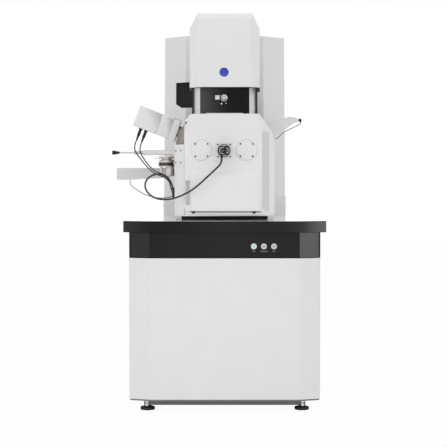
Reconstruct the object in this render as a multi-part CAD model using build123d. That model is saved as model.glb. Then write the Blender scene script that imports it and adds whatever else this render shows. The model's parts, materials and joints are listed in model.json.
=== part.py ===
from build123d import *
from math import atan2, cos, degrees, radians, sin, tan
import os

# Scanning electron microscope on its bench plinth. Millimetres, +Z up, front towards -Y.
# While it is modelled, X = 0 is the column's plane and Y = 0 is the front edge of the bench top.
# At the end every piece moves to the machine's own origin: floor level, middle of the footprint.

# Bench top and plinth
slab_width = 845.0
slab_depth = 1000.0
slab_top = 800.0
slab_thickness = 47.0
slab_corner_width = 108.0
slab_corner_depth = 36.0
slab_edge = 1.5
plinth_width = 800.0
plinth_depth = 925.0
plinth_setback = 25.0
plinth_corner_width = 89.0
plinth_corner_depth = 30.0
panel_bottom = 54.0
panel_sheet = 2.0
panel_return = 60.0
panel_bend = 14.0
side_hem = 20.0
fascia_height = 106.0
fascia_gap = 2.0
seat_gap = 0.3
toe_width = 680.0
toe_setback = 60.0
toe_rear_setback = 60.0
toe_bottom = 22.0
deck_thickness = 6.0
post_size = 40.0
post_wall = 3.0
post_side_inset = 10.0
post_front_inset = 100.0
post_rear_inset = 15.0
vent_slot_width = 150.0
vent_slot_height = 5.0
vent_slot_pitch = 14.0
vent_slot_rows = 9
vent_slot_offset = 190.0
vent_lowest = 180.0

# Levelling feet
foot_spread = 652.0
foot_front_inset = 85.0
foot_rear_inset = 110.0
foot_pad_radius = 30.5
foot_pad_height = 12.0
foot_cup_radius = 14.0
foot_cup_height = 6.0
foot_stud_radius = 6.0
foot_stud_engaged = 24.0
turning_clearance = 0.05

# Push buttons in the fascia
button_radius = 12.5
button_clearance = 0.3
button_centres = (121.0, 162.7, 204.6)
button_height = 695.0
button_proud = 3.0
button_length = 18.0
button_edge = 1.0

# Electronics and vacuum inside the plinth
crate_width = 380.0
crate_depth = 560.0
crate_height = 420.0
crate_front = 270.0
crate_card_pitch = 34.0
crate_groove = 2.0
pump_neck_radius = 60.0
pump_flange_radius = 68.0
pump_flange_thickness = 12.0
pump_body_radius = 88.0
pump_body_length = 190.0
pump_drop = 86.0
pump_foot_radius = 70.0
pump_foot_length = 60.0
pump_hole_clearance = 7.0
pump_fin_count = 6
pump_fin_depth = 4.0

# Isolation mounts, base plate and rubber skirt under the chamber
mount_radius = 25.0
mount_height = 26.0
mount_waist = 5.0
mount_spacing_x = 280.0
mount_front = 310.0
mount_rear = 490.0
base_plate_width = 400.0
base_plate_front = 150.0
base_plate_rear = 540.0
base_plate_thickness = 20.0
base_plate_corner = 10.0
pump_port_radius = 50.0
skirt_width = 372.0
skirt_front = 262.0
skirt_rear = 525.0
skirt_thickness = 5.0
skirt_gap = 0.5

# Specimen chamber casting
column_y = 340.0
chamber_half_width = 208.0
chamber_front = 165.0
chamber_rear = 550.0
chamber_top = 1240.0
cavity_radius = 182.5
chamber_floor_thickness = 47.0
cavity_height = 275.0
doorway_width = 270.0
doorway_corner = 22.0
lens_bore_radius = 75.0
eye_height = 1094.0

# Chamber cover: a folded hood whose front slice belongs to the door
cover_half_width = 214.5
cover_sheet = 3.0
cover_bottom = 824.0
cover_top = 1249.0
cover_front = 120.0
cover_rear = 562.0
cover_left_corner = -172.0
cover_left_bevel_depth = 85.0
cover_right_corner = 157.0
cover_right_bevel_depth = 126.5
shoulder_top_x = 148.0
shoulder_mid_x = 203.5
shoulder_mid_z = 1173.0
shoulder_low_z = 1137.0
front_shoulder_z = 1177.0
front_shoulder_x = 135.0
cover_rounding = 5.0
platform_width = 156.0
platform_height = 4.0
platform_front = 150.0
platform_rear = 480.0
cutaway_low = 1120.0
cutaway_high = 1216.0
cutaway_x = -157.0
cutaway_rear = 500.0
side_window_front = 300.0
side_window_low = 968.0

# Door, its drive cover and its handle slot
door_depth = 30.0
door_seam = 2.0
door_left = -170.0
door_bottom = 848.0
door_plate_left = -144.0
door_plate_right = 150.0
door_plate_bottom = 866.0
door_plate_top = 1192.0
door_plate_thickness = 24.0
door_bar_height = 20.0
door_bar_drop = 11.0
door_bar_front = 124.0
drive_left = -142.0
drive_top = 993.0
drive_proud = 13.0
drive_top_bevel = 13.0
drive_side_bevel = 14.0
drive_sheet = 3.0
drive_rounding = 2.5
slot_centre = -156.0
slot_width = 17.0
slot_low = 865.0
slot_high = 968.0
slot_depth = 22.0
guide_rod_radius = 6.0
guide_rod_spacing = 256.0
guide_rod_centre = -4.0
guide_rod_length = 400.0
guide_rod_proud = 2.0

# Ports
port_radius = 44.0
port_bore_radius = 30.0
port_proud = 1.5
port_flange_thickness = 7.0
port_left_x = -98.0
port_right_x = 92.0
port_height = 1096.0
port_clearance = 0.6
camera_x = -3.0
camera_flange_radius = 27.0
camera_bore_radius = 19.0
camera_body_width = 40.0
camera_body_height = 38.0
camera_body_length = 46.0
camera_lens_radius = 18.5
camera_plug_radius = 5.5
camera_plug_length = 12.0
side_port_height = 1069.0
side_port_radius = 40.0
side_port_shift = 4.0
side_port_bore_radius = 28.0

# Stage
rail_width = 12.0
rail_height = 8.0
slide_clearance = 0.3
z_rail_spacing = 120.0
z_rail_lift = 4.0
z_rail_length = 115.0
z_rail_depth = 12.0
z_plate_width = 150.0
z_plate_height = 85.0
z_plate_lift = 7.0
z_plate_thickness = 20.0
arm_width = 140.0
arm_thickness = 14.0
arm_rear = 470.0
gusset = 45.0
y_rail_spacing = 90.0
y_rail_front = 215.0
y_plate_width = 190.0
y_plate_length = 120.0
y_plate_thickness = 16.0
x_rail_spacing = 80.0
x_plate_width = 100.0
x_plate_length = 136.0
x_plate_thickness = 14.0
carriage_drop = 4.0
arm_to_tilt_axis = 112.0
ear_inner = 56.0
ear_thickness = 10.0
ear_radius = 14.0
trunnion_radius = 5.0
cradle_half_width = 32.0
cradle_length = 96.0
cradle_thickness = 12.0
cradle_boss_radius = 12.0
table_radius = 46.0
table_thickness = 8.0
table_lift = 4.0
table_shaft_radius = 8.0
stub_hole_radius = 1.6
stub_hole_depth = 8.0
stub_ring_diameter = 64.0
stub_ring_count = 8

# Column
lens_flange_radius = 95.0
lens_flange_thickness = 10.0
lens_tip_radius = 20.0
working_distance = 91.0
lens_tip_bore = 4.0
tube_radius = 55.0
condenser_radius = 85.0
condenser_height = 90.0
tube_top = 1400.0
gun_radius = 64.0
gun_height = 150.0
gun_dome_radius = 50.0
housing_width = 210.0
housing_front = 215.0
housing_rear = 455.0
housing_sheet = 4.0
housing_lip = 9.0
aperture_height = 1319.6
aperture_ring_radius = 34.0
aperture_ring_bore = 25.0
aperture_ring_proud = 8.0
aperture_knob_radius = 9.0
aperture_knob_length = 16.0
aperture_stem_radius = 4.0
trim_width = 28.0
trim_depth = 30.0
trim_sheet = 3.0
gun_cover_half_width = 150.0
gun_cover_corner_width = 39.0
gun_cover_corner_depth = 57.0
gun_cover_front = 190.0
gun_cover_depth = 300.0
gun_cover_bottom = 1365.0
gun_cover_top = 1678.0
gun_cover_shoulder_drop = 62.0
gun_cover_top_half = 116.0
gun_cover_brow = 1653.0
gun_cover_brow_depth = 16.0
gun_cover_sheet = 3.0
gun_cover_rounding = 5.0

# Tower behind the column
tower_front = 620.0
tower_rear = 985.0
tower_corner = 100.0
tower_top = 1622.0
tower_joint = 892.0
tower_half_top = 275.0
tower_half_bottom = 281.0
tower_base_half = 283.5
tower_sheet = 3.0
tower_rounding = 4.0
recess_left = -223.0
recess_right = 160.0
recess_step_x = 130.0
recess_step_z = 1370.0
recess_top = 1412.0
recess_bottom = 1296.0
recess_corner_width = 27.0
recess_corner_height = 18.0
recess_depth = 70.0
recess_wall = 3.0
bracket_left = -120.0
bracket_right = 139.0
bracket_thickness = 20.0
arm_half_width = 90.0
arm_low = 1300.0
arm_high = 1360.0
rear_vent_width = 260.0
rear_vent_height = 6.0
rear_vent_pitch = 16.0
rear_vent_rows = 12
rear_vent_lowest = 1300.0

# Detectors and gauges
left_tilt = 21.0
left_face_x = -230.6
left_face_z = 1191.0
left_section_height = 92.0
left_section_depth = 96.0
left_front_length = 56.0
left_rear_length = 106.0
left_rounding = 4.0
nose_radius = 24.0
nose_flange_radius = 38.0
nose_flange_thickness = 10.0
nose_reach = 165.0
connector_radius = 6.5
connector_length = 54.0
connector_places = (103.0, 127.0)
right_tilt = 20.0
right_face_x = 198.0
right_face_z = 1196.0
right_depth = 70.0
right_tip_depth = 26.0
right_taper_start = 250.0
right_tip_x = 322.0
right_nose_radius = 20.0
right_nose_reach = 95.0
right_stub_reach = 60.0
right_plug_radius = 6.0
right_plug_length = 13.0
right_plug_height = 1229.5
right_elbow_radius = 3.5
right_elbow_length = 9.5
rod_height = 1088.0
rod_radius = 3.0
rod_handle_start = -491.6
rod_handle_length = 33.0
rod_handle_radius = 9.0
rod_handle_neck = 4.5
rod_inner_end = -190.0
sleeve_start = -397.0
sleeve_radius = 7.0
bar_start = -355.0
bar_height = 21.0
bar_depth = 25.0
bar_flange_size = 44.0
bar_flange_thickness = 12.0
rod_wall_hole_radius = 8.0
valve_x = -255.0
valve_radius = 33.0
valve_waist = 22.0
valve_bottom = 1027.0
valve_black_height = 20.0
valve_pipe_radius = 12.0
gauge_x = -240.5
gauge_radius = 18.5
gauge_height = 41.0
gauge_stem_x = -276.5
gauge_stem_radius = 6.5
gauge_stem_length = 29.0
xray_y = 450.0
xray_left = -477.0
xray_right = -245.0
xray_height = 52.0
xray_bottom = 969.0
xray_depth = 84.0
xray_rise_start = -417.0
xray_rise = 10.0
xray_neck_radius = 16.0

# Cord glands on the chamber's sides
gland_reach = 15.0
gland_length = 26.0
gland_height = 24.0
camera_gland_y = 276.0
camera_gland_z = 924.0
bundle_gland_y = 332.0
bundle_gland_z = 912.0
bundle_gland_height = 40.0
right_gland_y = 330.0
right_gland_z = 1150.0
right_gland_radius = 5.0
right_gland_length = 8.0

# Cord diameters
camera_cord_diameter = 7.5
detector_cord_diameter = 5.0
xray_cord_diameter = 3.0
right_cord_diameter = 3.0

# Levels and places that follow from the sizes above
slab_bottom = slab_top - slab_thickness
deck_top = panel_bottom - seat_gap
deck_bottom = deck_top - deck_thickness
plinth_rear = plinth_setback + plinth_depth
toe_front = plinth_setback + toe_setback
toe_rear = plinth_rear - toe_rear_setback
foot_front_y = plinth_setback + foot_front_inset
foot_rear_y = plinth_rear - foot_rear_inset
foot_top = foot_pad_height + foot_cup_height
plate_bottom = slab_top + mount_height
plate_top = plate_bottom + base_plate_thickness
guide_rod_height = plate_bottom + base_plate_thickness / 2
door_bar_bottom = guide_rod_height - door_bar_drop
cavity_floor = plate_top + chamber_floor_thickness
z_rail_low = cavity_floor + z_rail_lift
z_rail_high = z_rail_low + z_rail_length
z_plate_low = cavity_floor + z_plate_lift
tilt_axis_height = z_plate_low + arm_to_tilt_axis
lens_tip_height = tilt_axis_height + working_distance
cavity_roof = cavity_floor + cavity_height
door_plate_back = chamber_front - seat_gap
door_plate_front = door_plate_back - door_plate_thickness
platform_top = cover_top + platform_height
gun_cover_rear = gun_cover_front + gun_cover_depth
gun_cover_shoulder = gun_cover_top - gun_cover_shoulder_drop
housing_half = housing_width / 2
left_lean = radians(left_tilt)
right_lean = radians(right_tilt)
machine_left = rod_handle_start
machine_right = slab_width / 2
origin_x = (machine_left + machine_right) / 2
origin_y = slab_depth / 2


def plan_face(points, inset=0.0, rounding=0.0):
    """A flat outline in plan, drawn in by an inset, with its corners rounded."""
    face = make_face(Polyline(*points, close=True))
    if inset:
        face = offset(face, amount=-inset, kind=Kind.INTERSECTION)
    if rounding:
        face = fillet(face.vertices(), rounding)
    return face


def stand(points, low, high, inset=0.0, rounding=0.0):
    """An outline in plan raised from one level to another."""
    return Pos(0, 0, low) * extrude(plan_face(points, inset, rounding), high - low)


def run_back(points, front, back, rounding=0.0):
    """An outline in the X-Z plane run back from the front."""
    plane = Plane(origin=(0, front, 0), x_dir=(1, 0, 0), z_dir=(0, -1, 0))
    face = plan_face(points, rounding=rounding)
    return plane * extrude(face, front - back)


def run_across(points, left, right):
    """An outline in the Y-Z plane run across from left to right."""
    plane = Plane(origin=(left, 0, 0), x_dir=(0, 1, 0), z_dir=(1, 0, 0))
    return plane * extrude(plan_face(points), right - left)


def block(x_low, x_high, y_low, y_high, z_low, z_high):
    """A plain block between two corners."""
    size = (x_high - x_low, y_high - y_low, z_high - z_low)
    middle = ((x_low + x_high) / 2, (y_low + y_high) / 2, (z_low + z_high) / 2)
    return Pos(*middle) * Box(*size)


def round_bar(start, direction, radius, length):
    """A round bar from a point along a direction."""
    plane = Plane(origin=start, z_dir=direction)
    bar = Cylinder(radius, length, align=(Align.CENTER, Align.CENTER, Align.MIN))
    return plane * bar


def turned(profile, x, y):
    """A profile of (radius, height) points turned about an upright axis."""
    half = Plane.XZ * make_face(Polyline(*profile, close=True))
    return Pos(x, y, 0) * revolve(half, Axis.Z)


def turned_along(profile, start, direction):
    """A profile of (radius, distance) points turned about any axis."""
    half = Plane.XZ * make_face(Polyline(*profile, close=True))
    return Plane(origin=start, z_dir=direction) * revolve(half, Axis.Z)


def cut_by_plane(solid, point, normal):
    """Take away all that lies beyond a plane."""
    reach = 5000.0
    beyond = Box(reach, reach, reach, align=(Align.CENTER, Align.CENTER, Align.MIN))
    return solid - Plane(origin=point, z_dir=normal) * beyond


def mirror_x(shape):
    """The same piece on the other side of the column's plane."""
    return mirror(shape, about=Plane.YZ)


def upright_edges(solid):
    """The edges that stand upright."""
    return solid.edges().filter_by(Axis.Z)


def place(shape):
    """Move a piece from the drawing place to the machine's own origin."""
    return Pos(-origin_x, -origin_y, 0) * shape


def save(name, *solids):
    """Write one node, which may hold several separate solids."""
    placed = [place(solid) for solid in solids]
    node = placed[0] if len(placed) == 1 else Compound(children=placed)
    export_step(node, "parts/" + name + ".step")


# Plinth

def plinth_outline():
    """The plinth in plan, with its two shallow front corners."""
    half = plinth_width / 2
    front_half = half - plinth_corner_width
    corner_y = plinth_setback + plinth_corner_depth
    return [
        (-half, plinth_rear),
        (-half, corner_y),
        (-front_half, plinth_setback),
        (front_half, plinth_setback),
        (half, corner_y),
        (half, plinth_rear),
    ]


def folded_front(low, high):
    """A sheet folded round the plinth's front, ending in a return on each side."""
    back = plinth_setback + plinth_corner_depth + panel_return
    outer = stand(plinth_outline(), low, high, rounding=panel_bend)
    inner = stand(plinth_outline(), low, high, panel_sheet, panel_bend - panel_sheet)
    return outer - inner - block(-plinth_width, plinth_width, back, 2 * plinth_rear, 0, slab_top)


def fascia():
    """The dark band under the bench top, with the button holes."""
    band = folded_front(slab_bottom - fascia_height, slab_bottom - seat_gap)
    for x in button_centres:
        start = (x, plinth_setback - panel_sheet, button_height)
        band -= round_bar(start, (0, 1, 0), button_radius + button_clearance, 3 * panel_sheet)
    return band


def side_panel():
    """The right side panel: a sheet hemmed inwards at its front and rear edges."""
    half = plinth_width / 2
    front = plinth_setback + plinth_corner_depth + panel_return + fascia_gap
    rear = plinth_rear - panel_sheet - seat_gap
    outline = [
        (half, front),
        (half, rear),
        (half - side_hem, rear),
        (half - side_hem, rear - panel_sheet),
        (half - panel_sheet, rear - panel_sheet),
        (half - panel_sheet, front + panel_sheet),
        (half - side_hem, front + panel_sheet),
        (half - side_hem, front),
    ]
    return stand(outline, panel_bottom, slab_bottom - seat_gap)


def rear_panel():
    """The rear panel with two banks of ventilation slots."""
    half = plinth_width / 2 - seat_gap
    panel = block(-half, half, plinth_rear - panel_sheet, plinth_rear, panel_bottom, slab_bottom - seat_gap)
    for side in (-1, 1):
        for row in range(vent_slot_rows):
            middle = side * vent_slot_offset
            low = vent_lowest + row * vent_slot_pitch
            panel -= block(
                middle - vent_slot_width / 2,
                middle + vent_slot_width / 2,
                plinth_rear - 2 * panel_sheet,
                plinth_rear + panel_sheet,
                low,
                low + vent_slot_height,
            )
    return panel


def foot_places():
    """Where the four feet stand."""
    half = foot_spread / 2
    return {
        "foot_front_left": (-half, foot_front_y),
        "foot_front_right": (half, foot_front_y),
        "foot_rear_left": (-half, foot_rear_y),
        "foot_rear_right": (half, foot_rear_y),
    }


def base_frame():
    """The recessed toe box with the deck plate welded on it, bored for the feet."""
    half = toe_width / 2
    frame = block(-half, half, toe_front, toe_rear, toe_bottom, deck_bottom)
    frame += stand(plinth_outline(), deck_bottom, deck_top, panel_sheet + seat_gap, panel_bend)
    for x, y in foot_places().values():
        depth = foot_stud_engaged + fascia_gap
        bore = foot_stud_radius + turning_clearance
        frame -= round_bar((x, y, toe_bottom), (0, 0, 1), bore, depth)
    return frame


def post_places():
    """Where the four frame posts stand on the deck."""
    x = plinth_width / 2 - post_side_inset - post_size / 2
    front = plinth_setback + post_front_inset + post_size / 2
    rear = plinth_rear - post_rear_inset - post_size / 2
    return [(-x, front), (x, front), (-x, rear), (x, rear)]


def frame_post(x, y):
    """A square tube from the deck to the bench top."""
    height = slab_bottom - deck_top
    tube = Box(post_size, post_size, height) - Box(
        post_size - 2 * post_wall, post_size - 2 * post_wall, 2 * height
    )
    return Pos(x, y, deck_top + height / 2) * tube


def foot(x, y):
    """A rubber pad with its swivel cup, and the threaded stud above it."""
    pad = turned(
        [
            (0, 0),
            (foot_pad_radius - slab_edge, 0),
            (foot_pad_radius, slab_edge),
            (foot_pad_radius, foot_pad_height - slab_edge),
            (foot_pad_radius - slab_edge, foot_pad_height),
            (foot_cup_radius + foot_cup_height, foot_pad_height),
            (foot_cup_radius, foot_top),
            (0, foot_top),
        ],
        x,
        y,
    )
    stud_top = toe_bottom + foot_stud_engaged
    stud = round_bar((x, y, foot_top), (0, 0, 1), foot_stud_radius, stud_top - foot_top)
    return pad, stud


def bench_slab():
    """The dark bench top, with its front corners cut back and a hole for the pump's neck."""
    half = slab_width / 2
    front_half = half - slab_corner_width
    slab = stand(
        [
            (-half, slab_depth),
            (-half, slab_corner_depth),
            (-front_half, 0),
            (front_half, 0),
            (half, slab_corner_depth),
            (half, slab_depth),
        ],
        slab_bottom,
        slab_top,
    )
    slab = chamfer(slab.faces().sort_by(Axis.Z)[-1].edges(), slab_edge)
    hole = pump_flange_radius + pump_hole_clearance
    return slab - round_bar((0, column_y, slab_bottom), (0, 0, 1), hole, slab_thickness)


def push_button(x):
    """A round push button that stands a little proud of the fascia."""
    radius = button_radius
    return turned_along(
        [
            (0, 0),
            (radius - button_edge, 0),
            (radius, button_edge),
            (radius, button_length),
            (0, button_length),
        ],
        (x, plinth_setback - button_proud, button_height),
        (0, 1, 0),
    )


def electronics_crate():
    """The electronics crate on the deck, with its row of card fronts."""
    half = crate_width / 2
    top = deck_top + crate_height
    crate = block(-half, half, crate_front, crate_front + crate_depth, deck_top, top)
    cards = int(crate_width / crate_card_pitch)
    for i in range(cards + 1):
        x = (i - cards / 2) * crate_card_pitch
        crate -= block(
            x - crate_groove / 2,
            x + crate_groove / 2,
            crate_front - crate_groove,
            crate_front + 2 * crate_groove,
            deck_top + crate_card_pitch,
            top - crate_card_pitch,
        )
    return crate


def turbo_pump():
    """The turbomolecular pump hung under the base plate, with its cooling ribs."""
    body_top = plate_bottom - pump_drop
    body_bottom = body_top - pump_body_length
    pitch = pump_body_length / (2 * pump_fin_count + 1)
    outline = [
        (0, plate_bottom),
        (pump_flange_radius, plate_bottom),
        (pump_flange_radius, plate_bottom - pump_flange_thickness),
        (pump_neck_radius, plate_bottom - pump_flange_thickness),
        (pump_neck_radius, body_top),
    ]
    for i in range(pump_fin_count):
        top = body_top - 2 * i * pitch
        outline += [
            (pump_body_radius, top),
            (pump_body_radius, top - pitch),
            (pump_body_radius - pump_fin_depth, top - pitch),
            (pump_body_radius - pump_fin_depth, top - 2 * pitch),
        ]
    outline += [
        (pump_body_radius, body_bottom + pitch),
        (pump_body_radius, body_bottom),
        (pump_foot_radius, body_bottom),
        (pump_foot_radius, body_bottom - pump_foot_length),
        (0, body_bottom - pump_foot_length),
    ]
    return turned(outline, 0, column_y)


# Under the chamber

def isolation_mount(x, y):
    """A rubber mount with a waist, between the bench top and the base plate."""
    third = mount_height / 3
    return turned(
        [
            (0, slab_top),
            (mount_radius, slab_top),
            (mount_radius - mount_waist, slab_top + third),
            (mount_radius - mount_waist, plate_bottom - third),
            (mount_radius, plate_bottom),
            (0, plate_bottom),
        ],
        x,
        y,
    )


def isolation_mounts():
    """All four isolation mounts."""
    half = mount_spacing_x / 2
    return [isolation_mount(x, y) for x in (-half, half) for y in (mount_front, mount_rear)]


def guide_rod_places():
    """The X places of the two door guide rods."""
    return [guide_rod_centre + side * guide_rod_spacing / 2 for side in (-1, 1)]


def base_plate():
    """The steel plate that the chamber stands on, bored for the pump and the guide rods."""
    half = base_plate_width / 2
    plate = block(-half, half, base_plate_front, base_plate_rear, plate_bottom, plate_top)
    plate = fillet(upright_edges(plate), base_plate_corner)
    plate = plate & hood_solid(cover_sheet + seat_gap)
    depth = base_plate_rear - base_plate_front
    for x in guide_rod_places():
        start = (x, base_plate_front, guide_rod_height)
        plate -= round_bar(start, (0, 1, 0), guide_rod_radius + turning_clearance, depth)
    return plate - round_bar((0, column_y, plate_bottom), (0, 0, 1), pump_port_radius, base_plate_thickness)


def skirt_strips():
    """Four rubber strips that close the space between the bench top and the base plate."""
    half = skirt_width / 2
    low = slab_top + skirt_gap
    high = plate_bottom - skirt_gap
    inner = half - skirt_thickness - skirt_gap
    return [
        block(-inner, inner, skirt_front, skirt_front + skirt_thickness, low, high),
        block(-inner, inner, skirt_rear - skirt_thickness, skirt_rear, low, high),
        block(-half, -half + skirt_thickness, skirt_front, skirt_rear, low, high),
        block(half - skirt_thickness, half, skirt_front, skirt_rear, low, high),
    ]


# Chamber

def hood_solid(inset):
    """The closed form of the chamber cover: a block bevelled along its front corners and shoulders."""
    half = cover_half_width
    low = cover_bottom
    solid = block(-half + inset, half - inset, cover_front + inset, cover_rear, low, cover_top - inset)
    bevels = []
    left = Vector(cover_left_corner, cover_front, 0)
    left_back = Vector(-half, cover_front + cover_left_bevel_depth, 0)
    right = Vector(cover_right_corner, cover_front, 0)
    right_back = Vector(half, cover_front + cover_right_bevel_depth, 0)
    up = Vector(0, 0, 1)
    bevels.append((left, up.cross(left_back - left)))
    bevels.append((right, (right_back - right).cross(up)))
    for side in (-1, 1):
        top = Vector(side * shoulder_top_x, 0, cover_top)
        middle = Vector(side * shoulder_mid_x, 0, shoulder_mid_z)
        bottom = Vector(side * half, 0, shoulder_low_z)
        back = Vector(0, side, 0)
        bevels.append((top, (middle - top).cross(back)))
        bevels.append((middle, (bottom - middle).cross(back)))
    brow = Vector(cover_right_corner, cover_front, front_shoulder_z)
    brow_top = Vector(front_shoulder_x, cover_front, cover_top)
    along = (shoulder_mid_x - cover_right_corner) / (half - cover_right_corner)
    brow_back = Vector(shoulder_mid_x, cover_front + along * cover_right_bevel_depth, shoulder_mid_z)
    bevels.append((brow, (brow_back - brow).cross(brow_top - brow)))
    brow_left = Vector(cover_left_corner, cover_front, front_shoulder_z)
    brow_x = -front_shoulder_x - (cover_right_corner + cover_left_corner)
    brow_left_top = Vector(brow_x, cover_front, cover_top)
    along = (shoulder_mid_x + cover_left_corner) / (half + cover_left_corner)
    brow_left_back = Vector(-shoulder_mid_x, cover_front + along * cover_left_bevel_depth, shoulder_mid_z)
    bevels.append((brow_left, (brow_left_top - brow_left).cross(brow_left_back - brow_left)))
    for point, normal in bevels:
        outward = normal.normalized()
        solid = cut_by_plane(solid, point - outward * inset, outward)
    return solid


def hood_with_platform(inset):
    """The cover's form with the raised strip under the column."""
    half = platform_width / 2 - inset
    strip = block(
        -half, half, platform_front + inset, platform_rear, cover_top - 2 * cover_rounding, platform_top - inset
    )
    return hood_solid(inset) + strip


def bevel_direction():
    """The inward direction of the port on the left front bevel."""
    across = cover_half_width + cover_left_corner
    return Vector(cover_left_bevel_depth, across, 0).normalized()


def bevel_port_centre():
    """The middle of the port on the casting's left front bevel."""
    middle_x = (cover_left_corner - cover_half_width) / 2
    middle_y = cover_front + cover_left_bevel_depth / 2
    on_cover = Vector(middle_x, middle_y, side_port_height)
    backward = Vector(0, 0, 1).cross(bevel_direction())
    on_cover += backward * side_port_shift
    return on_cover + bevel_direction() * (cover_half_width - chamber_half_width)


def left_axis():
    """Outward direction of the left detector."""
    return Vector(-cos(left_lean), 0, sin(left_lean))


def right_axis():
    """Outward direction of the right detector."""
    return Vector(cos(right_lean), 0, sin(right_lean))


def chamber_body():
    """The chamber casting: round inside, open to the front, bored for its lens, pump and detectors."""
    reach = cover_half_width
    body = hood_solid(cover_half_width - chamber_half_width)
    body = body & block(-reach, reach, chamber_front, chamber_rear, plate_top, chamber_top)
    body -= round_bar((0, column_y, cavity_floor), (0, 0, 1), cavity_radius, cavity_height)
    half = doorway_width / 2
    doorway = [
        (-half, cavity_floor),
        (half, cavity_floor),
        (half, cavity_roof),
        (-half, cavity_roof),
    ]
    body -= run_back(doorway, chamber_front, column_y, rounding=doorway_corner)
    body -= round_bar((0, column_y, cavity_roof), (0, 0, 1), lens_bore_radius, chamber_top - cavity_roof)
    body -= round_bar((0, column_y, plate_top), (0, 0, 1), pump_port_radius, cavity_floor - plate_top)
    port = bevel_port_centre() - bevel_direction()
    body -= round_bar(port, bevel_direction(), side_port_bore_radius, cavity_radius / 2)
    left = Vector(left_face_x, column_y, left_face_z)
    body -= round_bar(left, -left_axis(), nose_radius + slide_clearance, nose_reach)
    right = Vector(right_face_x, column_y, right_face_z) + right_axis() * right_nose_radius
    nose_bore = right_nose_radius + slide_clearance
    body -= round_bar(right, -right_axis(), nose_bore, right_nose_reach + right_nose_radius)
    hole_start = (-chamber_half_width, column_y, rod_height)
    body -= round_bar(hole_start, (1, 0, 0), rod_wall_hole_radius, chamber_half_width - cavity_radius / 2)
    return body


def left_cutaway():
    """What is left out of the cover's left shoulder and side, where the bare casting shows."""
    far = -2 * cover_half_width
    shoulder = block(far, cutaway_x, 0, cutaway_rear, cutaway_low, cutaway_high)
    window_high = cutaway_low + cover_sheet
    window = block(far, cutaway_x, side_window_front, cutaway_rear, side_window_low, window_high)
    return shoulder + window


def chamber_cover():
    """The fixed hood of folded sheet: bevelled corners, open below, with the door's slice taken out."""
    hood = hood_with_platform(0) - hood_with_platform(cover_sheet)
    hood -= block(
        door_left - door_seam,
        cover_half_width + door_seam,
        0,
        cover_front + door_depth + door_seam,
        0,
        2 * cover_top,
    )
    hood -= round_bar((0, column_y, chamber_top), (0, 0, 1), lens_flange_radius + door_seam, cover_top)
    hood -= left_cutaway()
    port = bevel_port_centre() + bevel_direction()
    hood -= round_bar(port, -bevel_direction(), side_port_radius + port_clearance, side_port_radius)
    right = Vector(right_face_x, column_y, right_face_z)
    nose_start = right - right_axis() * right_nose_radius
    hood -= round_bar(nose_start, right_axis(), right_nose_radius + door_seam, cavity_radius)
    return hood


def side_port_flange():
    """The blanking flange on the left front bevel, with its spigot in the bore."""
    stand_out = cover_half_width - chamber_half_width + port_proud
    inward = bevel_direction()
    start = bevel_port_centre() - inward * stand_out
    return turned_along(
        [
            (0, 0),
            (side_port_radius - port_proud, 0),
            (side_port_radius, port_proud),
            (side_port_radius, stand_out),
            (side_port_bore_radius - slide_clearance, stand_out),
            (side_port_bore_radius - slide_clearance, stand_out + port_flange_thickness),
            (0, stand_out + port_flange_thickness),
        ],
        start,
        inward,
    )


# Door

def door_solid(inset):
    """The door's slice of the cover's form."""
    left = door_left + inset
    low = door_bottom + inset
    back = cover_front + door_depth + inset
    return hood_solid(inset) & block(left, cover_half_width, 0, back, low, cover_top)


def door_cover():
    """The white door cover: a formed shell with port holes and a pocket for the fingers."""
    outer = door_solid(0)
    outer = fillet(outer.edges().filter_by(Axis.X).group_by(Axis.Y)[0], slab_edge)
    cover = outer - door_solid(cover_sheet)
    cover -= block(
        door_plate_left - seat_gap,
        door_plate_right + seat_gap,
        door_plate_front - seat_gap,
        chamber_front,
        0,
        door_plate_bottom,
    )
    half = slot_width / 2
    wall = cover_sheet / 2
    cup_back = cover_front + slot_depth
    cover += block(
        slot_centre - half - wall,
        slot_centre + half + wall,
        cover_front + wall,
        cup_back - wall,
        slot_low - wall,
        slot_high + wall,
    )
    cover -= block(
        slot_centre - half, slot_centre + half, 0, cup_back - cover_sheet, slot_low, slot_high
    )
    for x in (port_left_x, port_right_x):
        cover -= round_bar((x, 0, port_height), (0, 1, 0), port_radius + port_clearance, door_plate_front)
    camera_hole = camera_flange_radius + port_clearance
    return cover - round_bar((camera_x, 0, eye_height), (0, 1, 0), camera_hole, door_plate_front)


def drive_cover():
    """The shallow cover over the stage drives, bevelled along its top and right edges."""
    front = cover_front - drive_proud
    right = cover_right_corner
    top = drive_top + drive_top_bevel
    back = cover_front

    def form(inset):
        solid = block(drive_left + inset, right - inset, front + inset, back, door_bottom + inset, top - inset)
        slope = Vector(0, -drive_top_bevel, drive_proud).normalized()
        solid = cut_by_plane(solid, Vector(0, front, drive_top) - slope * inset, slope)
        side = Vector(drive_proud, -drive_side_bevel, 0).normalized()
        return cut_by_plane(solid, Vector(right - drive_side_bevel, front, 0) - side * inset, side)

    outer = form(0)
    outer = fillet(outer.faces().sort_by(Axis.Y)[0].edges(), drive_rounding)
    return outer - form(drive_sheet)


def port_flange(x, z, radius, bore):
    """A port flange that seats on the door plate and ends just proud of the cover."""
    front = cover_front - port_proud
    face = port_flange_thickness
    seat = door_plate_front - front
    return turned_along(
        [
            (0, 0),
            (radius - port_proud, 0),
            (radius, port_proud),
            (radius, face),
            (bore + port_flange_thickness, face),
            (bore + port_flange_thickness, seat),
            (bore - slide_clearance, seat),
            (bore - slide_clearance, seat + port_flange_thickness),
            (0, seat + port_flange_thickness),
        ],
        (x, front, z),
        (0, 1, 0),
    )


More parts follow.
